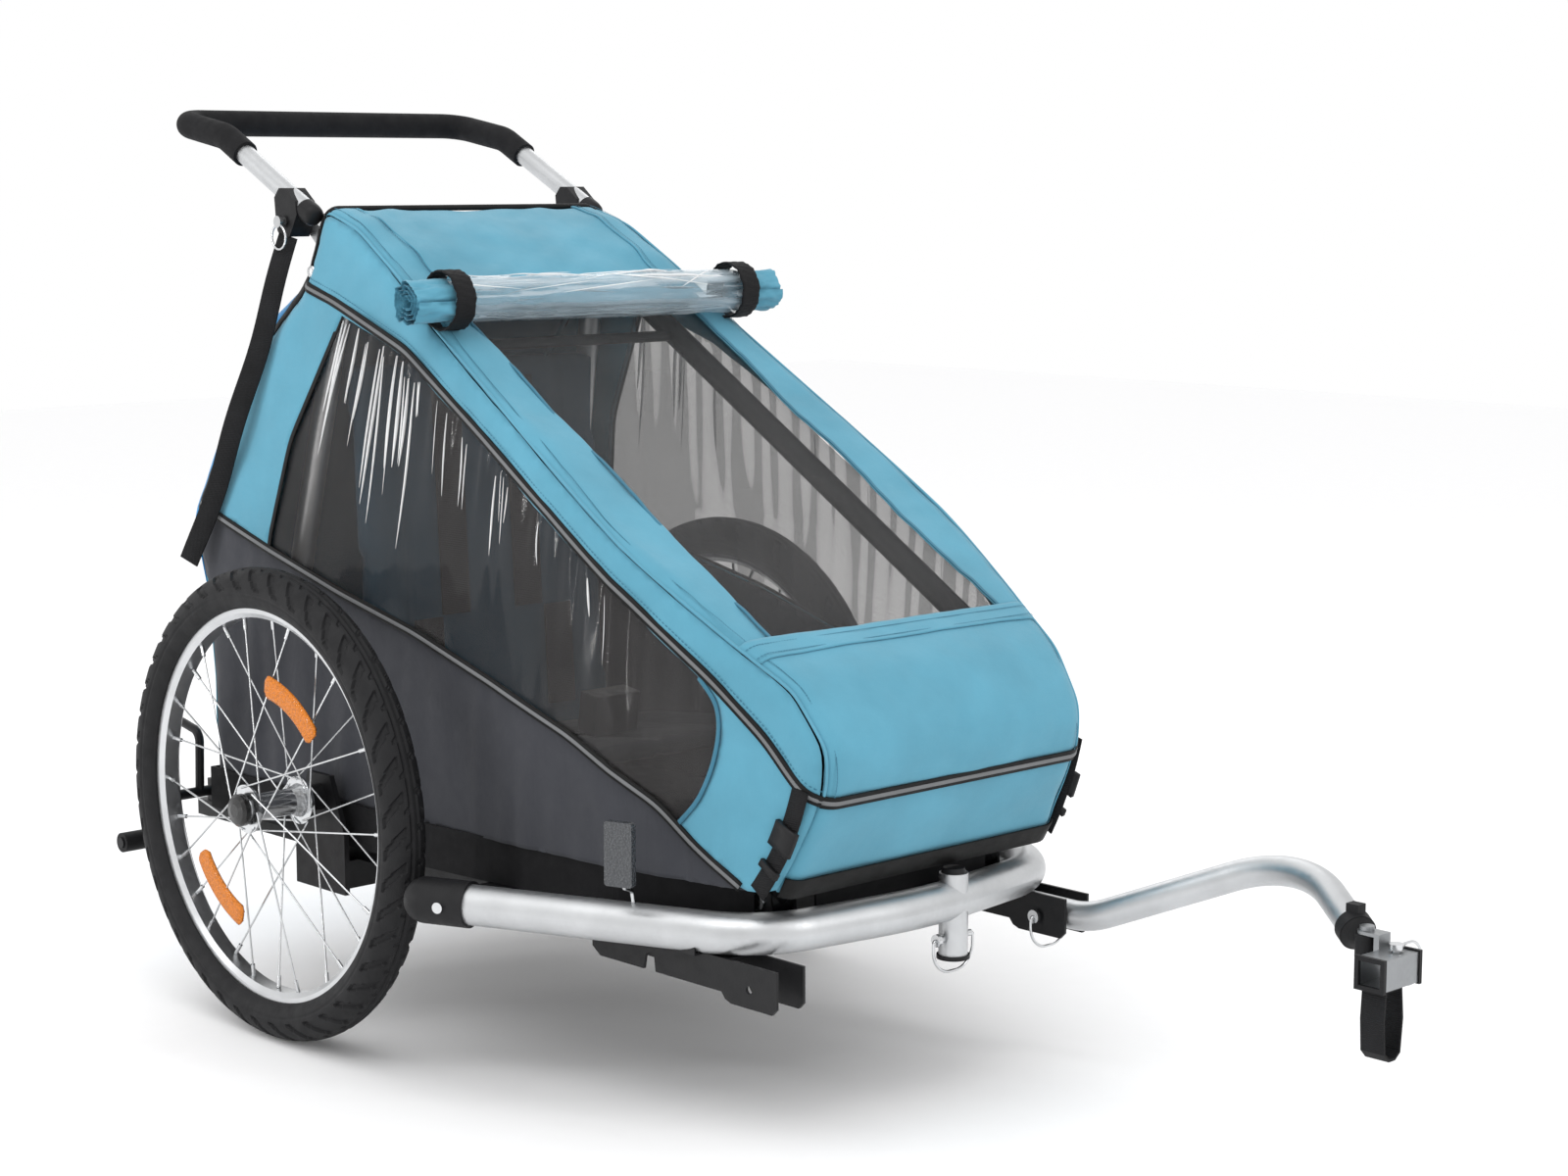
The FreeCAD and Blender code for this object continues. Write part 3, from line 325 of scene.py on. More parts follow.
def build(name, verts, faces, look, body="chassis", smooth=True, thick=0.0, stands_for=()):
    """A mesh object that rides on a CAD body."""
    data = bpy.data.meshes.new(name)
    data.from_pydata([tuple(v) for v in verts], [], faces)
    data.validate()
    data.update()
    if smooth:
        data.polygons.foreach_set("use_smooth", [True] * len(data.polygons))
    obj = bpy.data.objects.new(name, data)
    bpy.context.scene.collection.objects.link(obj)
    data.materials.append(M[look])
    if thick:
        solidify = obj.modifiers.new("thickness", "SOLIDIFY")
        solidify.thickness = thick
        solidify.offset = -1
    if body is not None:
        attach(obj, body)
    if stands_for:
        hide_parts(*stands_for)
    return obj


def as_sheet(obj):
    """Works out a cut of cloth's width and length from its extents and its own area, before it gets its
    thickness; nothing keeps these values.
    """
    corners = np.array([tuple(v.co) for v in obj.data.vertices])
    spans = sorted(corners.max(axis=0) - corners.min(axis=0))
    area = sum(face.area for face in obj.data.polygons)
    width = spans[1]
    length = max(spans[2], area / width)
    if area < 0.32 * width * length:
        width = area / (0.5 * length)
    return obj


def fold_with_frame(obj):
    """Applies the piece's modifiers and gives it a mesh of its own."""
    if obj.modifiers:
        bpy.context.view_layer.objects.active = obj
        for modifier in list(obj.modifiers):
            bpy.ops.object.modifier_apply(modifier=modifier.name)
    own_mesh(obj)
    return obj


def sweep(name, points, normals, section, look, **options):
    """Carries a closed 2-D section (across, out) along points whose outward directions are given."""
    verts, faces, n = [], [], len(section)
    for i, p in enumerate(points):
        ahead = points[min(i + 1, len(points) - 1)] - points[max(i - 1, 0)]
        out = (normals[i] - ahead.normalized() * normals[i].dot(ahead.normalized())).normalized()
        across = ahead.normalized().cross(out)
        verts += [p + across * a + out * b for a, b in section]
    faces += tube_faces(len(points), n)
    faces.append(tuple(range(n))[::-1])
    faces.append(tuple(range(len(verts) - n, len(verts))))
    return build(name, verts, faces, look, **options)


def ring(radius, n=10, flat=1.0):
    turns = [2 * math.pi * k / n for k in range(n)]
    return [(radius * math.cos(a), flat * radius * math.sin(a)) for a in turns]


def bar(width, height):
    w, h, c = width / 2, height, min(width, height) * 0.25
    return [(-w, 0), (w, 0), (w, h - c), (w - c, h), (-w + c, h), (-w, h - c)]


def tube_faces(rows, n, first=0):
    """Quads between neighbouring rings of n points each."""
    return [(first + i * n + k, first + i * n + (k + 1) % n,
             first + (i + 1) * n + (k + 1) % n, first + (i + 1) * n + k)
            for i in range(rows - 1) for k in range(n)]


def ruffle(a, b, c):
    """Smooth noise about zero, for slack and creased cloth."""
    return noise.noise(Vector((a, b, c)))


def lerp_table(table, value):
    return float(np.interp(value, [a for a, _ in table], [b for _, b in table]))


def resample(points, step):
    """Even steps along a polyline of 2-D points."""
    pts = [Vector(p) for p in points]
    lengths = [0.0]
    for a, b in zip(pts, pts[1:]):
        lengths.append(lengths[-1] + (b - a).length)
    count = max(2, int(lengths[-1] / step) + 1)
    marks = np.linspace(0, lengths[-1], count)
    return [tuple(np.interp(m, lengths, [p[k] for p in pts]) for k in range(len(pts[0]))) for m in marks]


def softened(points, times):
    """Rounds a polyline's corners and leaves its ends."""
    pts = np.array(points)
    for _ in range(times):
        pts[1:-1] = 0.25 * pts[:-2] + 0.5 * pts[1:-1] + 0.25 * pts[2:]
    return [tuple(p) for p in pts]


# ---------------------------------------------------------------- the fabric body's shape

OUTLINE = [(-240, 246), (-262, 440), (-288, 515), (-205, 695), (-106, 788), (-85, 871), (-20, 851), (60, 803),
           (123, 757), (591, 469), (642, 439), (681, 385), (680, 345), (666, 310), (634, 250), (628, 240)]
PROFILE = softened(resample(OUTLINE, 5.0), 9)
PROFILE_XZ = np.array(PROFILE)
STEPS = np.concatenate([[0], np.cumsum(np.hypot(*np.diff(PROFILE_XZ, axis=0).T))])
TRIM = [(-330, 555), (-131, 502), (8, 467), (141, 439), (267, 403), (384, 365), (498, 312), (540, 278),
        (590, 246)]
PIPING = [(-108, 788), (-40, 770), (94, 724), (233, 646), (350, 577), (464, 505), (560, 438), (618, 388),
          (646, 354), (664, 338), (674, 334)]
SIDE_WINDOW = [(-22, 756), (94, 716), (233, 638), (350, 569), (464, 498), (545, 440), (566, 418), (568, 390),
               (560, 356), (544, 322), (520, 297), (498, 314), (384, 367), (267, 405), (141, 441), (8, 469),
               (-124, 503), (-98, 620)]
WIDTH_BY_Z = [(200, 253), (520, 240), (870, 193)]
WIDTH_BY_X = [(-400, 262), (150, 256), (300, 249), (440, 236), (560, 210), (640, 190), (720, 174)]


def half_width(x, z):
    """Half the body's width, the lesser of its taper by height and by length, blended."""
    a, b = lerp_table(WIDTH_BY_Z, z), lerp_table(WIDTH_BY_X, x)
    k = 8.0
    return -k * math.log(math.exp(-a / k) + math.exp(-b / k))


def outline_at(s):
    """The outline's point at s along it, and the way that it runs there."""
    here, before, after = (
        [float(np.interp(mark, STEPS, PROFILE_XZ[:, k])) for k in (0, 1)] for mark in (s, s - 4, s + 4))
    return here, Vector([b - a for a, b in zip(before, after)]).normalized()


def depth(x, z):
    """Distance from the top and front outline, inward."""
    return float(np.min(np.hypot(PROFILE_XZ[:, 0] - x, PROFILE_XZ[:, 1] - z)))


def side_point(x, z, side, lift=0.0, sag=0.0):
    """A point on the body's side, with the top edge rounded over."""
    d = min(depth(x, z), EDGE_ROUND)
    y = half_width(x, z) - EDGE_ROUND + math.sqrt(max(0.0, EDGE_ROUND ** 2 - (EDGE_ROUND - d) ** 2))
    return at(x, side * (y + lift - sag), z)


def top_point(s, y, lift=0.0):
    """A point on the strip over rear, roof, front and nose: s is the way along the outline, y across."""
    (x, z), ahead = outline_at(s)
    out = Vector((-ahead.y, ahead.x))
    over = abs(y) - (half_width(x, z) - EDGE_ROUND)
    drop = EDGE_ROUND - math.sqrt(max(0.0, EDGE_ROUND ** 2 - over ** 2)) if over > 0 else 0.0
    return at(x + out.x * (lift - drop), y, z + out.y * (lift - drop)), Vector((out.x, 0, out.y))


def top_edge(s):
    """Half width of the strip where it meets the side."""
    x, z = (float(np.interp(s, STEPS, PROFILE_XZ[:, k])) for k in (0, 1))
    return half_width(x, z) - EDGE_ROUND * (1 - math.sqrt(0.5))


def way_to(x, z):
    """The way along the outline nearest a point."""
    return float(STEPS[int(np.argmin(np.hypot(PROFILE_XZ[:, 0] - x, PROFILE_XZ[:, 1] - z)))])


def inside(p, polygon):
    """Whether a 2-D point lies in a polygon."""
    x, y = p
    hit = False
    for (x0, y0), (x1, y1) in zip(polygon, polygon[1:] + polygon[:1]):
        if (y0 > y) != (y1 > y) and x < (x1 - x0) * (y - y0) / (y1 - y0) + x0:
            hit = not hit
    return hit


def flat_mesh(outer, holes=(), step=9.0):
    """Triangles over a flat outline with holes: points and faces."""
    loops = [resample(list(loop) + [loop[0]], step)[:-1] for loop in [outer, *holes]]
    points, edges = [], []
    for loop in loops:
        first = len(points)
        points += [Vector(p) for p in loop]
        edges += [(first + i, first + (i + 1) % len(loop)) for i in range(len(loop))]
    rim = np.array([tuple(p) for p in points])
    xs = np.arange(rim[:, 0].min() + step / 2, rim[:, 0].max(), step)
    ys = np.arange(rim[:, 1].min() + step / 2, rim[:, 1].max(), step * 0.87)
    for row, y in enumerate(ys):
        for x in xs:
            p = (x + (row % 2) * step / 2, y)
            if inside(p, loops[0]) and not any(inside(p, hole) for hole in loops[1:]):
                if np.min(np.hypot(rim[:, 0] - p[0], rim[:, 1] - p[1])) > step * 0.45:
                    points.append(Vector(p))
    verts, _, faces, *_ = geometry.delaunay_2d_cdt(points, edges, [], 0, 1e-4)
    kept = []
    for face in faces:
        mid = tuple(sum(verts[i][k] for i in face) / len(face) for k in (0, 1))
        if inside(mid, loops[0]) and not any(inside(mid, hole) for hole in loops[1:]):
            kept.append(tuple(face))
    return [tuple(v) for v in verts], kept


def side_piece(name, outer, look, side, lift=0.0, holes=(), shape=None, step=9.0, thick=SKIN, **options):
    """One sewn panel on the body's side. shape(x, z) gives how far it stands out, in mm."""
    flat, faces = flat_mesh(outer, holes, step)
    verts = []
    for x, z in flat:
        out = shape(x, z) if shape else 0.0
        verts.append(side_point(x, z, side, lift + out))
    if side > 0:
        faces = [f[::-1] for f in faces]
    return as_sheet(build(name, verts, faces, look, thick=thick, **options))


def top_piece(name, s0, s1, look, lift=0.0, shape=None, step=9.0, span=None, thick=SKIN, held="stretched",
              **options):
    """One sewn panel of the strip. span(s) gives the two y values that it reaches between."""
    rows, columns = max(2, int((s1 - s0) / step) + 1), 61
    verts, faces = [], []
    for i in range(rows):
        s = s0 + (s1 - s0) * i / (rows - 1)
        edge = top_edge(s)
        first, last = span(s) if span else (-edge, edge)
        for k in range(columns):
            y = first + (last - first) * k / (columns - 1)
            out = shape(s, y, y / edge) if shape else 0.0
            verts.append(top_point(s, y, lift + out)[0])
    for i in range(rows - 1):
        for k in range(columns - 1):
            a = i * columns + k
            faces.append((a, a + columns, a + columns + 1, a + 1))
    return as_sheet(build(name, verts, faces, look, thick=thick, **options))


def within(reach):
    """A span of the same width on both sides."""
    return lambda s: (-reach(s), reach(s))


def stitches(name, points, normals, look="thread", size=(0.0032, 0.0009), body="chassis"):
    """A row of short threads laid along a seam."""
    verts, faces = [], []
    for i in range(0, len(points) - 1):
        ahead = (points[i + 1] - points[i]).normalized()
        out = normals[i].normalized()
        across = ahead.cross(out).normalized()
        start = len(verts)
        half, wide = size[0] / 2, size[1] / 2
        for along, lift in ((-half, 0.0), (-half * 0.5, 0.0007), (half * 0.5, 0.0007), (half, 0.0)):
            for edge in (-wide, wide):
                verts.append(points[i] + ahead * along + out * lift + across * edge)
        for k in range(3):
            a = start + 2 * k
            faces.append((a, a + 2, a + 3, a + 1))
    return build(name, verts, faces, look, body=body)


def side_path(line, side, lift=0.0, step=6.0):
    points = [side_point(x, z, side, lift) for x, z in softened(resample(line, step), 6)]
    return points, [Vector((0.0, side, 0.12))] * len(points)


def across_path(s, lift=0.0, share=1.0, count=90):
    edge = top_edge(s) * share
    found = [top_point(s, -edge + 2 * edge * k / (count - 1), lift) for k in range(count)]
    return tuple(zip(*found))


def copied(node, body="chassis", look=None):
    """A copy of a soft CAD node's own shape on a new object riding on a body; the node itself is hidden."""
    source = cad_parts[node]
    obj = bpy.data.objects.new(node + "_soft", source.data.copy())
    bpy.context.scene.collection.objects.link(obj)
    if look:
        obj.data.materials.clear()
        obj.data.materials.append(M[look])
    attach(obj, body)
    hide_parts(node)
    return obj


soft = []

# ---------------------------------------------------------------- top, front and nose

S_RISE = way_to(-288, 515)
S_BACK = way_to(-106, 788)
S_TOP = way_to(-85, 871)
S_WINDOW = (way_to(112, 764), way_to(586, 472))
S_NOSE = way_to(672, 333)
S_END = float(STEPS[-1])
WINDOW_HALF = 157.0


def pucker(s, y, u):
    """Cloth between its frame tubes: a little slack, with pulls slanting from the seams."""
    slack = -3.0 * (1 - u * u)
    pulls = 1.6 * math.sin((s * 0.55 + abs(y)) / 21.0) * math.exp(-((abs(u) - 0.9) / 0.18) ** 2)
    uneven = 3.2 * ruffle(s / 90.0, y / 120.0, 3.1) + 1.1 * ruffle(s / 24.0, y / 60.0, 8)
    return slack + pulls + uneven


def roof_shape(s, y, u):
    drag = 2.6 * math.sin((s - 0.35 * abs(y)) / 13.0) * math.exp(-((abs(u) - 0.72) / 0.22) ** 2)
    pulled = 3.4 * ruffle((s + 0.8 * y) / 26.0, (s - 0.8 * y) / 150.0, 4.0) * (1 - u ** 8)
    return pucker(s, y, u) + pulled + drag * (0.5 + 0.5 * ruffle(s / 40, y / 50, 1.0))


def nose_shape(s, y, u):
    t = (s - S_WINDOW[1]) / (S_NOSE - S_WINDOW[1])
    puff = 5.0 * math.sin(math.pi * min(1.0, max(0.0, t))) * (1 - u ** 4)
    return puff + 2.6 * ruffle(s / 60, y / 110, 5.0) + 0.9 * ruffle(s / 18, y / 30, 2.0)


def under_nose(s, y, u):
    return 2.0 * ruffle(s / 40, y / 90, 9.0) - 2.0


def loose(s, y, u):
    return 4.0 * ruffle(s / 120, y / 100, 6.0) - 6.0 * (1 - u * u)


soft.append(top_piece("roof_cloth", S_BACK, S_WINDOW[0] + 4, "blue", shape=roof_shape, stands_for=["canopy"]))
for side, label in SIDES:
    soft.append(top_piece("front_cloth_" + label, S_WINDOW[0], S_WINDOW[1] + 2, "blue", shape=pucker,
                          span=lambda s: sorted((side * (WINDOW_HALF - 2), side * top_edge(s)))))
soft.append(top_piece("nose_cloth", S_WINDOW[1], S_NOSE, "blue", lift=0.8, shape=nose_shape))
soft.append(top_piece("nose_under", S_NOSE, S_END, "blue", shape=under_nose))
soft.append(top_piece("window_net", S_WINDOW[0] - 8, S_WINDOW[1] + 6, "mesh", lift=-2.5, shape=loose,
                      span=within(lambda s: WINDOW_HALF + 3), thick=0.0, stands_for=["mesh_window"]))
soft.append(top_piece("rear_cloth", 0.0, S_BACK + 2, "blue", shape=under_nose, stands_for=["rear_panel"]))
soft.append(top_piece("rear_lining", 4.0, S_TOP - 4, "inside", lift=-7.0,
                      span=within(lambda s: top_edge(s) - 8)))


def flap_shape(s, y, u):
    """The luggage pocket's cover stands out from the back as a shallow box."""
    rise = min(1.0, max(0.0, (s - S_RISE + 70) / 90.0)) * min(1.0, max(0.0, (S_BACK - 8 - s) / 90.0))
    return 36.0 * math.sqrt(rise) * (1 - abs(u) ** 12) + under_nose(s, y, u)


soft.append(top_piece("luggage_flap", S_RISE - 70, S_BACK - 8, "flap", lift=3.0, shape=flap_shape,
                      span=within(lambda s: top_edge(s) - 1)))

path, normals = across_path(S_TOP, 1.0)
soft.append(sweep("roof_edge_piping", path, normals, ring(0.0033), "binding"))
path, normals = across_path(S_TOP - 30, 1.0)
soft.append(sweep("roof_back_band", path, normals, bar(0.030, 0.0016), "binding"))
path, normals = across_path(S_NOSE, 0.8)
soft.append(sweep("nose_tape", path, normals, bar(0.012, 0.0018), "binding"))
path, normals = across_path(S_NOSE, 2.2)
soft.append(sweep("nose_piping", path, normals, ring(0.0024, flat=0.7), "piping"))
path, normals = across_path(S_END - 8, 0.8)
soft.append(sweep("nose_hem", path, normals, bar(0.022, 0.0022), "binding"))
for index, (s, lift) in enumerate(((S_WINDOW[1] + 5, 2.6), (S_WINDOW[1] + 19, 3.4))):
    path, normals = across_path(s, lift, 0.985, 110)
    soft.append(stitches("window_hem_stitches_%d" % index, path, normals))
soft.append(top_piece("window_hem", S_WINDOW[1] - 3, S_WINDOW[1] + 24, "blue", lift=2.0,
                      shape=lambda s, y, u: nose_shape(s, y, u) + 0.5, step=3.0))
for side, label in SIDES:
    stretch = np.linspace(S_WINDOW[0], S_WINDOW[1], 120)
    found = [top_point(s, side * WINDOW_HALF, 0.6 + pucker(s, WINDOW_HALF, WINDOW_HALF / top_edge(s)))
             for s in stretch]
    soft.append(sweep("net_hem_" + label, *zip(*found), bar(0.004, 0.001), "thread"))
    stretch = np.linspace(S_TOP + 3, S_WINDOW[0] - 24, 60)
    found = [top_point(s, side * 150, 1.0 + roof_shape(s, 150, 150 / top_edge(s))) for s in stretch]
    soft.append(sweep("roof_seam_" + label, *zip(*found), ring(0.0013, 8), "blue"))
    found = [top_point(s, side * 155, 1.4 + roof_shape(s, 155, 155 / top_edge(s))) for s in stretch]
    soft.append(stitches("roof_stitches_" + label, *zip(*found)))
    stretch = np.linspace(S_TOP, S_NOSE, 330)
    found = [top_point(s, side * (top_edge(s) - 1.0), 0.9) for s in stretch]
    soft.append(sweep("edge_seam_" + label, *zip(*found), ring(0.0016, 8), "blue"))
    found = [top_point(s, side * (top_edge(s) - 9.0), 1.3 + pucker(s, top_edge(s) - 9, 0.95))
             for s in stretch]
    soft.append(stitches("edge_stitches_" + label, *zip(*found)))

# ---------------------------------------------------------------- sides

D0 = EDGE_ROUND * (1 - math.sqrt(0.5))


def inset_profile(s0, s1, d=D0, step=9.0):
    """The outline from s0 to s1, moved inward by d."""
    found = []
    for s in np.arange(s0, s1 + 0.1, step):
        (x, z), ahead = outline_at(s)
        found.append((x + ahead.y * d, z - ahead.x * d))
    return found


def nearest(x, z, line):
    """Distance from a point to a polyline."""
    best = 1e9
    for (x0, z0), (x1, z1) in zip(line, line[1:]):
        dx, dz = x1 - x0, z1 - z0
        t = min(1.0, max(0.0, ((x - x0) * dx + (z - z0) * dz) / (dx * dx + dz * dz)))
        best = min(best, math.hypot(x - x0 - t * dx, z - z0 - t * dz))
    return best


def cloth_side(x, z):
    tug = 1.4 * math.sin((x * 0.7 + z) / 16.0) * math.exp(-nearest(x, z, PIPING) / 30.0)
    return tug + 2.4 * ruffle(x / 80, z / 80, 2.0) + 0.8 * ruffle(x / 22, z / 30, 5.0)


def lower_side(x, z):
    """The grey panel hangs from the trim in soft upright folds."""
    below = nearest(x, z, TRIM)
    fold = 5.0 * ruffle(x / 30.0, z / 260.0, 4.0) * (1 - math.exp(-below / 60.0))
    return fold + 1.2 * ruffle(x / 14.0, z / 70.0, 1.0) - 1.0


def vinyl_side(x, z):
    """Clear window gathered along its top edge: upright pleats that die away downward."""
    drop = nearest(x, z, PIPING)
    q = x + 0.10 * drop
    pleat = 0.5 + 0.5 * math.sin(q / 4.6 + 2.5 * ruffle(q / 30.0, drop / 500.0, 7.0))
    wave = ruffle(x / 70.0, z / 160.0, 3.0)
    gathered = math.exp(-drop / 70.0) * (1 - math.exp(-drop / 6.0))
    return -3.0 + 3.2 * pleat * gathered + 4.0 * wave


def creases(name, side):
    """Standing folds in the gathered vinyl, running down from the piping, in a near-white material: their
    brightness is a painted highlight standing in for reflections on the folds.
    """
    chance = random.Random(31 + side)
    verts, faces, n = [], [], 6
    for _ in range(34 if side < 0 else 9):
        x = -25 + 480 * chance.random() ** 1.9
        top = lerp_table(PIPING, x) - chance.uniform(9, 26)
        long = chance.uniform(60, 175) * (1.0 if x < 120 else 0.55)
        thick = chance.uniform(0.5, 1.8) * (1.0 if x < 120 else 0.6)
        lean = chance.uniform(-0.04, 0.04) - 0.0017 * max(0.0, 130 - x)
        curve = chance.uniform(-1.5, 1.5)
        first = len(verts)
        for i in range(26):
            u = i / 25
            px, pz = x + lean * long * u + curve * math.sin(math.pi * u), top - long * u
            if not inside((px, pz), SIDE_WINDOW):
                break
            r = thick * math.sin(math.pi * min(1.0, u * 0.9 + 0.08)) ** 0.7
            for k in range(n):
                b = 2 * math.pi * k / n
                out = vinyl_side(px, pz) + 1.0 + 1.3 * r * math.sin(b)
                verts.append(side_point(px + r * math.cos(b), pz, side, out))
        rows = (len(verts) - first) // n
        faces += tube_faces(rows, n, first)
    return build(name, verts, faces, "crease")


def stud(name, place, side):
    """Domed snap fastener, 14 mm wide."""
    verts = []
    for rise in (0.01, 0.5, 1.0, 1.5):
        for turn in np.linspace(0, 2 * math.pi, 17)[:-1]:
            round_it = Vector((math.cos(turn), 0, math.sin(turn))) * 0.007 * math.sin(rise)
            verts.append(place + Vector((0, side * 0.003 * math.cos(rise), 0)) + round_it)
    return build(name, verts, tube_faces(4, 16) + [tuple(range(16))], "chrome")


for side, label in SIDES:
    top_line = inset_profile(way_to(-282, 536), S_END)
    outer = top_line + [(600, 243)] + [p for p in TRIM[::-1] if p[0] > -200] + [(-272, 541)]
    soft.append(side_piece("side_cloth_" + label, outer, "blue", side, holes=[SIDE_WINDOW], shape=cloth_side))
    grown = [(x + (5 if x > 250 else -3), z + (3 if z > 480 else -3)) for x, z in SIDE_WINDOW]
    soft.append(side_piece("side_vinyl_" + label, grown, "vinyl", side, shape=vinyl_side, step=5.0, thick=0.0,
                           stands_for=["side_window_" + label]))
    # Folds in the window vinyl whose near-white colour is a painted highlight.
    soft.append(creases("vinyl_creases_" + label, side))
    lower = [(-236, 244), (-258, 440), (-272, 541)] + [p for p in TRIM if p[0] > -200] + [(596, 243)]
    soft.append(side_piece("lower_cloth_" + label, lower, "grey", side, lift=-1.0, shape=lower_side,
                           stands_for=["side_panel_" + label]))
    for name, line, width in (("piping", PIPING, 0.011), ("trim", [(-272, 541)] + TRIM[1:], 0.010)):
        path, normals = side_path(line, side, 0.4)
        soft.append(sweep("%s_tape_%s" % (name, label), path, normals, bar(width, 0.0022), "binding"))
        path, normals = side_path(line, side, 2.2)
        soft.append(sweep("%s_bead_%s" % (name, label), path, normals, ring(0.0021, flat=0.7), "piping"))
    path, normals = side_path([(x + 2, z + 10) for x, z in PIPING], side, 1.0, 4.5)
    soft.append(stitches("piping_stitches_" + label, path, normals))
    edge = [SIDE_WINDOW[0], SIDE_WINDOW[-1], SIDE_WINDOW[-2]]
    path, normals = side_path(edge, side, 0.3)
    soft.append(sweep("window_rear_binding_" + label, path, normals, bar(0.006, 0.0014), "binding"))
    path, normals = side_path(SIDE_WINDOW[5:11], side, 0.3)
    soft.append(sweep("window_front_binding_" + label, path, normals, bar(0.005, 0.0014), "thread"))
    rear_line = inset_profile(way_to(-282, 536), S_TOP, 5.0, 6.0)
    path = [side_point(x, z, side, 1.0) for x, z in rear_line]
    normals = [Vector((-0.6, side, 0))] * len(path)
    soft.append(sweep("rear_binding_" + label, path, normals, bar(0.010, 0.003), "binding"))
    soft.append(stud("snap_" + label, side_point(-92, 800, side, 1.0), side))

# ---------------------------------------------------------------- rolled rain cover

ROLL = (146.0, 777.0)      # mm, the roll's axis
ROLL_RADIUS = 24.5
ELASTIC_Y = 196.0


def rolled(name, y0, y1, inner, outer, turns, look, crease, grain, step=3.0, **options):
    """One sheet wound in a spiral along Y, with the same creases pressed through all its turns."""
    rows, around = int((y1 - y0) / step) + 1, int(60 * turns)
    verts, faces = [], []
    for i in range(rows):
        y = y0 + (y1 - y0) * i / (rows - 1)
        for k in range(around):
            u = k / (around - 1)
            a = 2 * math.pi * turns * u
            dent = ruffle(math.cos(a) * 2.6, math.sin(a) * 2.6, y / grain)
            sharp = abs(ruffle(math.cos(a) * 5.0, math.sin(a) * 5.0, y / (0.4 * grain)))
            r = inner + (outer - inner) * u + crease * (0.4 + 0.6 * u) * (1.3 * dent - 1.2 * sharp)
            verts.append(at(ROLL[0] + r * math.cos(a), y, ROLL[1] + r * math.sin(a)))
    for i in range(rows - 1):
        for k in range(around - 1):
            b = i * around + k
            faces.append((b, b + 1, b + around + 1, b + around))
    return as_sheet(build(name, verts, faces, look, **options))


soft.append(rolled("rolled_film", -203, 203, 15.0, ROLL_RADIUS, 3.0, "film", 4.0, 150.0,
                   stands_for=["rain_cover_roll"]))


def film_glints():
    """Painted highlights: thin near-white ribs running along the rolled film, standing in for glints on its
    folded edges.
    """
    chance = random.Random(5)
    verts, faces, n, rows = [], [], 6, 22
    for _ in range(26):
        a, middle = math.radians(chance.uniform(20, 175)), chance.uniform(-185, 185)
        half, thick, drift = chance.uniform(10, 75), chance.uniform(0.4, 1.5), chance.uniform(-0.5, 0.5)
        first = len(verts)
        for i in range(rows):
            u = -1 + 2 * i / (rows - 1)
            y = max(-200.0, min(200.0, middle + half * u))
            b, r = a + drift * u, thick * (1 - u * u) + 0.1
            for k in range(n):
                c = 2 * math.pi * k / n
                out = 24.6 + 1.2 * ruffle(u * 2, a * 9, 3.0) + r * math.sin(c)
                turn = b + r * math.cos(c) / 24.0
                verts.append(at(ROLL[0] + out * math.cos(turn), y, ROLL[1] + out * math.sin(turn)))
        faces += tube_faces(rows, n, first)
    return build("film_glints", verts, faces, "crease")


# Painted highlights along the rolled film.
soft.append(film_glints())
for side, label in SIDES:
    y0, y1 = sorted((side * 200, side * 250))
    soft.append(rolled("roll_end_" + label, y0, y1, 5.0, ROLL_RADIUS, 4.0, "blue", 3.6, 55.0, step=2.5))


def drip(s, y, u):
    return 3.0 * ruffle(y / 40, s / 50, 0) + 5.0


soft.append(top_piece("hanging_film", S_WINDOW[0] - 6, S_WINDOW[0] + 26, "film", lift=5.0, shape=drip,
                      step=4.0, span=within(lambda s: ELASTIC_Y), thick=0.0, held="hung"))

# ---------------------------------------------------------------- straps

def elastic(name, y):
    """Flat elastic band round the roll, ruffled at its edges."""
    verts, faces, around = [], [], 64
    for k in range(around):
        a = 2 * math.pi * k / around
        for j in range(7):
            across = -12 + 4 * j + 0.6 * math.sin(a * 9)
            r = 29.0 + 0.5 * math.sin(a * 23 + j) + 0.8 * ruffle(a, y, 1.0)
            verts.append(at(ROLL[0] + r * math.cos(a), y + across, ROLL[1] + r * math.sin(a)))
    for k in range(around):
        for j in range(6):
            a, b = k * 7 + j, ((k + 1) % around) * 7 + j
            faces.append((a, b, b + 1, a + 1))
    return build(name, verts, faces, "webbing", thick=0.0016)


NOSE_STRAP = [(657, 347), (650, 322), (637, 290), (622, 262), (610, 244)]
for side, label in SIDES:
    soft.append(elastic("roll_elastic_" + label, side * ELASTIC_Y))
    path, normals = side_path(NOSE_STRAP, side, 2.5)
    strap = sweep("nose_strap_" + label, path, normals, bar(0.021, 0.0022), "webbing")
    if side < 0:
        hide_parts("straps")
    soft.append(strap)
    for fitting, start, end, width in (("buckle", 0.34, 0.62, 0.030), ("keeper", 0.72, 0.78, 0.026)):
        first = int(start * len(path))
        lifted = [p + Vector((0, side * 0.002, 0)) for p in path[first:max(int(end * len(path)), first + 2)]]
        soft.append(sweep("nose_%s_%s" % (fitting, label), lifted, normals, bar(width, 0.006), "plastic"))

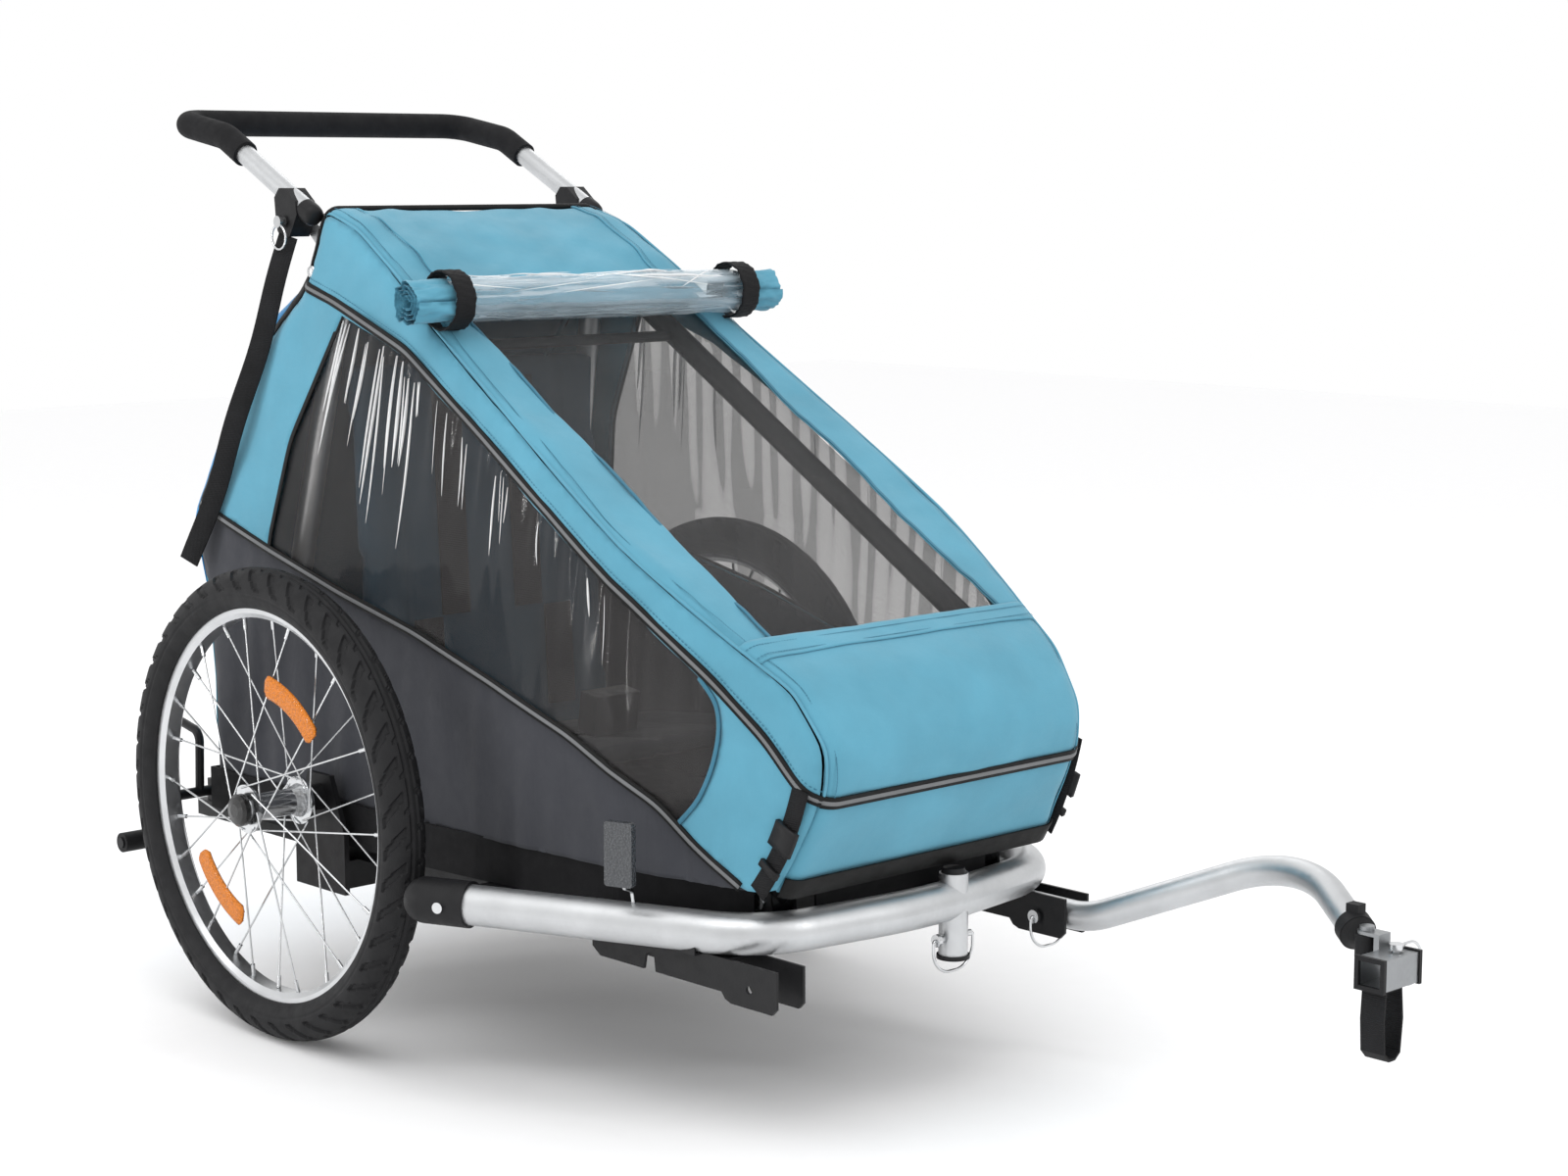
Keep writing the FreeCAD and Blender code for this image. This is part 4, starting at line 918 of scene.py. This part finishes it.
low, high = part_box("wrist_strap")
upper = Vector((high[0] - 0.004, high[1] - 0.002, high[2] - 0.003))
lower = Vector((low[0] + 0.010, low[1] + 0.002, low[2] + 0.004))
count = 60
hang, facing = [], []
for k in range(count):
    u = k / (count - 1)
    away = Vector((0.35, -0.93, 0.0)) * (0.006 * math.sin(5.0 * u) * u + 0.0025 * math.sin(14.0 * u))
    hang.append(upper.lerp(lower, u) + away + Vector((0.012 * math.sin(math.pi * u), 0, 0)))
    facing.append(Vector((0.35 + 0.25 * math.sin(3.0 * k / count), -0.93, 0.0)))
wrist = sweep("wrist_ribbon", hang, facing, bar(0.024, 0.0018), "webbing", body="handle",
              stands_for=["wrist_strap"])

# ---------------------------------------------------------------- plugs in the handle tube's ends

HANDLE_DOWN = Vector((162, 0, -84)).normalized()
HANDLE_UP = Vector((84, 0, 162)).normalized()


def tube_end(side):
    """The middle of the handle tube's open end."""
    points = [v.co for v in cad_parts["handle_tube"].data.vertices if v.co.y * side > 0.15]
    front = max(p.x for p in points)
    rim = [p for p in points if p.x > front - 0.012]
    middle = sum(rim, Vector()) / len(rim)
    middle.y = side * 0.195
    return middle


for side, label in SIDES:
    middle = tube_end(side)
    verts, n = [], 24
    for reach, r in ((-0.012, 0.0122), (0.0, 0.0122), (0.006, 0.0112), (0.009, 0.008)):
        p = middle + HANDLE_DOWN * reach
        for k in range(n):
            a = 2 * math.pi * k / n
            verts.append(p + HANDLE_UP * r * math.cos(a) + Vector((0, 1, 0)) * r * math.sin(a))
    faces = tube_faces(4, n) + [tuple(range(3 * n, 4 * n))]
    build("handle_plug_" + label, verts, faces, "plastic", body="handle")

# ---------------------------------------------------------------- wheel reflectors

WHEEL_Y = 325.0            # mm, the wheels' planes
WHEEL_Z = 250.0
REFLECTOR_R = 131.0


def spoke_reflector(name, side, lean):
    """Curved amber bar clipped between the spokes, ribbed across its face."""
    verts, faces, columns, rows = [], [], 70, 15
    for i in range(columns):
        u = -1 + 2 * i / (columns - 1)
        a = math.radians(90 - lean) + u * math.radians(21.5)
        tall = 12.5 * (1 - max(0.0, (abs(u) - 0.86) / 0.14) ** 2 * 0.55)
        for j in range(rows):
            v = -1 + 2 * j / (rows - 1)
            face = 2.2 * (1 - abs(v) ** 6) * (1 - abs(u) ** 14)
            rib = 0.5 * abs(math.sin(u * 40.0)) if abs(v) < 0.75 else 0.0
            r = REFLECTOR_R + tall * v
            verts.append(at(r * math.cos(a), side * (WHEEL_Y + 17.0 + face + rib), WHEEL_Z + r * math.sin(a)))
    for i in range(columns - 1):
        for j in range(rows - 1):
            b = i * rows + j
            faces.append((b, b + 1, b + rows + 1, b + rows))
    if side > 0:
        faces = [f[::-1] for f in faces]
    return build(name, verts, faces, "amber", body="wheel_" + ("r" if side < 0 else "l"), thick=0.003)


for side, label in SIDES:
    plates = [spoke_reflector("spoke_reflector_%s_%d" % (label, k), side, lean)
              for k, lean in enumerate((28, -142))]
    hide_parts("reflectors_" + label)

# ---------------------------------------------------------------- seat

def cushion(name, node, look, quilt):
    """A stuffed pad blown up from its CAD block between sewn channels."""
    obj = copied(node, look=look)
    bpy.context.view_layer.objects.active = obj
    obj.name = name
    remesh = obj.modifiers.new("remesh", "REMESH")
    remesh.mode = "VOXEL"
    remesh.voxel_size = 0.008
    bpy.ops.object.modifier_apply(modifier="remesh")
    smooth = obj.modifiers.new("smooth", "SMOOTH")
    smooth.iterations = 6
    bpy.ops.object.modifier_apply(modifier="smooth")
    sewn = obj.vertex_groups.new(name="sewn")
    for v in obj.data.vertices:
        in_channel = abs(math.sin(v.co.y * math.pi / quilt)) < 0.12
        if in_channel:
            v.co -= v.normal * 0.003
            sewn.add([v.index], 1.0, "REPLACE")
    fabric = obj.modifiers.new("cloth", "CLOTH")
    fabric.settings.quality = 4
    fabric.settings.mass = 0.3
    fabric.settings.tension_stiffness = 25.0
    fabric.settings.compression_stiffness = 25.0
    fabric.settings.bending_stiffness = 1.5
    fabric.settings.air_damping = 4.0
    fabric.settings.use_pressure = True
    fabric.settings.uniform_pressure_force = 2.0
    fabric.settings.vertex_group_mass = "sewn"
    fabric.settings.effector_weights.gravity = 0.0
    fabric.point_cache.frame_end = 14
    scene = bpy.context.scene
    for number in range(1, 15):
        scene.frame_set(number)
    bpy.ops.object.modifier_apply(modifier="cloth")
    scene.frame_set(1)
    obj.data.polygons.foreach_set("use_smooth", [True] * len(obj.data.polygons))
    return obj


soft.append(cushion("seat_back_pad", "seat_back", "seat_blue", 0.11))
soft.append(cushion("seat_base_pad", "seat_base", "seat", 0.11))
soft.append(copied("harness", look="webbing"))
soft.append(copied("harness_buckle", look="plastic"))

# ---------------------------------------------------------------- tyres with tread

BLOCKS = 44


def tread_cut(a, w):
    """How deep the tread is cut, in mm. a is the angle round the tyre, w runs -1 to 1 over the tread."""
    pitch = 2 * math.pi / BLOCKS
    swept = a + 0.9 * pitch * abs(w) ** 1.5 + (0.5 * pitch if w > 0 else 0.0)
    groove = abs((swept / pitch) % 1.0 - 0.5) * 2
    shoulder = 2.6 if abs(w) > 0.3 and groove < 0.30 else 0.0
    notch = 1.6 if 0.12 < abs(w) < 0.3 and groove > 0.86 else 0.0
    channel = 2.0 if abs(abs(w) - 0.14) < 0.035 else 0.0
    return max(shoulder, notch, channel)


def tyre(name, side):
    radius, section, body = 226.5, 23.5, "wheel_" + ("r" if side < 0 else "l")
    rings, around = BLOCKS * 16, 48
    verts, faces = [], []
    for i in range(rings):
        a = 2 * math.pi * i / rings
        for k in range(around):
            b = math.radians(-142) + math.radians(284) * k / (around - 1)
            w = b / math.radians(84)
            r = section - (tread_cut(a, w) if abs(w) < 1 else 0.0) - (0.7 if 1.12 < abs(w) < 1.2 else 0.0)
            out = radius + r * math.cos(b)
            verts.append(at(out * math.cos(a), side * WHEEL_Y + r * math.sin(b), WHEEL_Z + out * math.sin(a)))
    for i in range(rings):
        j = (i + 1) % rings
        for k in range(around - 1):
            faces.append((i * around + k, j * around + k, j * around + k + 1, i * around + k + 1))
        faces.append((i * around + around - 1, j * around + around - 1, j * around, i * around))
    return build(name, verts, faces, "tyre", body=body, smooth=False,
                 stands_for=["tyre_right" if side < 0 else "tyre_left"])


tyre("treaded_tyre_right", -1)
tyre("treaded_tyre_left", 1)

for piece in soft:
    fold_with_frame(piece)

# ---------------------------------------------------------------- stage

def plane(name, size, z, look):
    half = size / 2
    corners = [(-half, -half, z), (half, -half, z), (half, half, z), (-half, half, z)]
    obj = build(name, corners, [(0, 1, 2, 3)], look, body=None, smooth=False)
    return obj


M["floor"] = solid("pale_floor", (0.975, 0.975, 0.98), 0.8, 30.0, 0.0, spread=0.006)
plane("floor", 16.0, -0.0008, "floor")


def lamp(name, kind, energy, size, place, target):
    data = bpy.data.lights.new(name, kind)
    data.energy = energy
    if kind == "AREA":
        data.shape = "RECTANGLE"
        data.size, data.size_y = size
    obj = bpy.data.objects.new(name, data)
    bpy.context.scene.collection.objects.link(obj)
    obj.location = place
    obj.rotation_euler = (Vector(target) - Vector(place)).to_track_quat("-Z", "Y").to_euler()


lamp("key", "AREA", 38.0, (3.0, 2.2), (0.6, -1.6, 3.4), (0.0, 0.0, 0.4))
lamp("rim", "AREA", 12.0, (2.5, 1.5), (-2.2, 1.8, 2.4), (0.0, 0.0, 0.6))
lamp("glint", "AREA", 14.0, (0.10, 2.0), (-1.5, -2.6, 1.0), (-0.3, -0.3, 0.6))
lamp("strip", "AREA", 10.0, (0.15, 1.6), (2.6, 0.6, 1.8), (0.3, 0.0, 0.3))

world = bpy.data.worlds.new("studio")
bpy.context.scene.world = world
world.use_nodes = True
world.node_tree.nodes["Background"].inputs["Color"].default_value = (1.0, 1.0, 1.0, 1)
world.node_tree.nodes["Background"].inputs["Strength"].default_value = 1.0
bpy.context.scene.view_settings.view_transform = "Standard"

camera_data = bpy.data.cameras.new("camera")
camera_data.sensor_width = 36.0
camera_data.lens = 67.5
camera = bpy.data.objects.new("camera", camera_data)
bpy.context.scene.collection.objects.link(camera)
place = Vector((2.559 + AXLE_X, -2.013, 0.907))
yaw, pitch = math.radians(136.54), math.radians(-8.07)
look_along = Vector((math.cos(pitch) * math.cos(yaw), math.cos(pitch) * math.sin(yaw), math.sin(pitch)))
camera.location = place
camera.rotation_euler = look_along.to_track_quat("-Z", "Y").to_euler()
bpy.context.scene.camera = camera
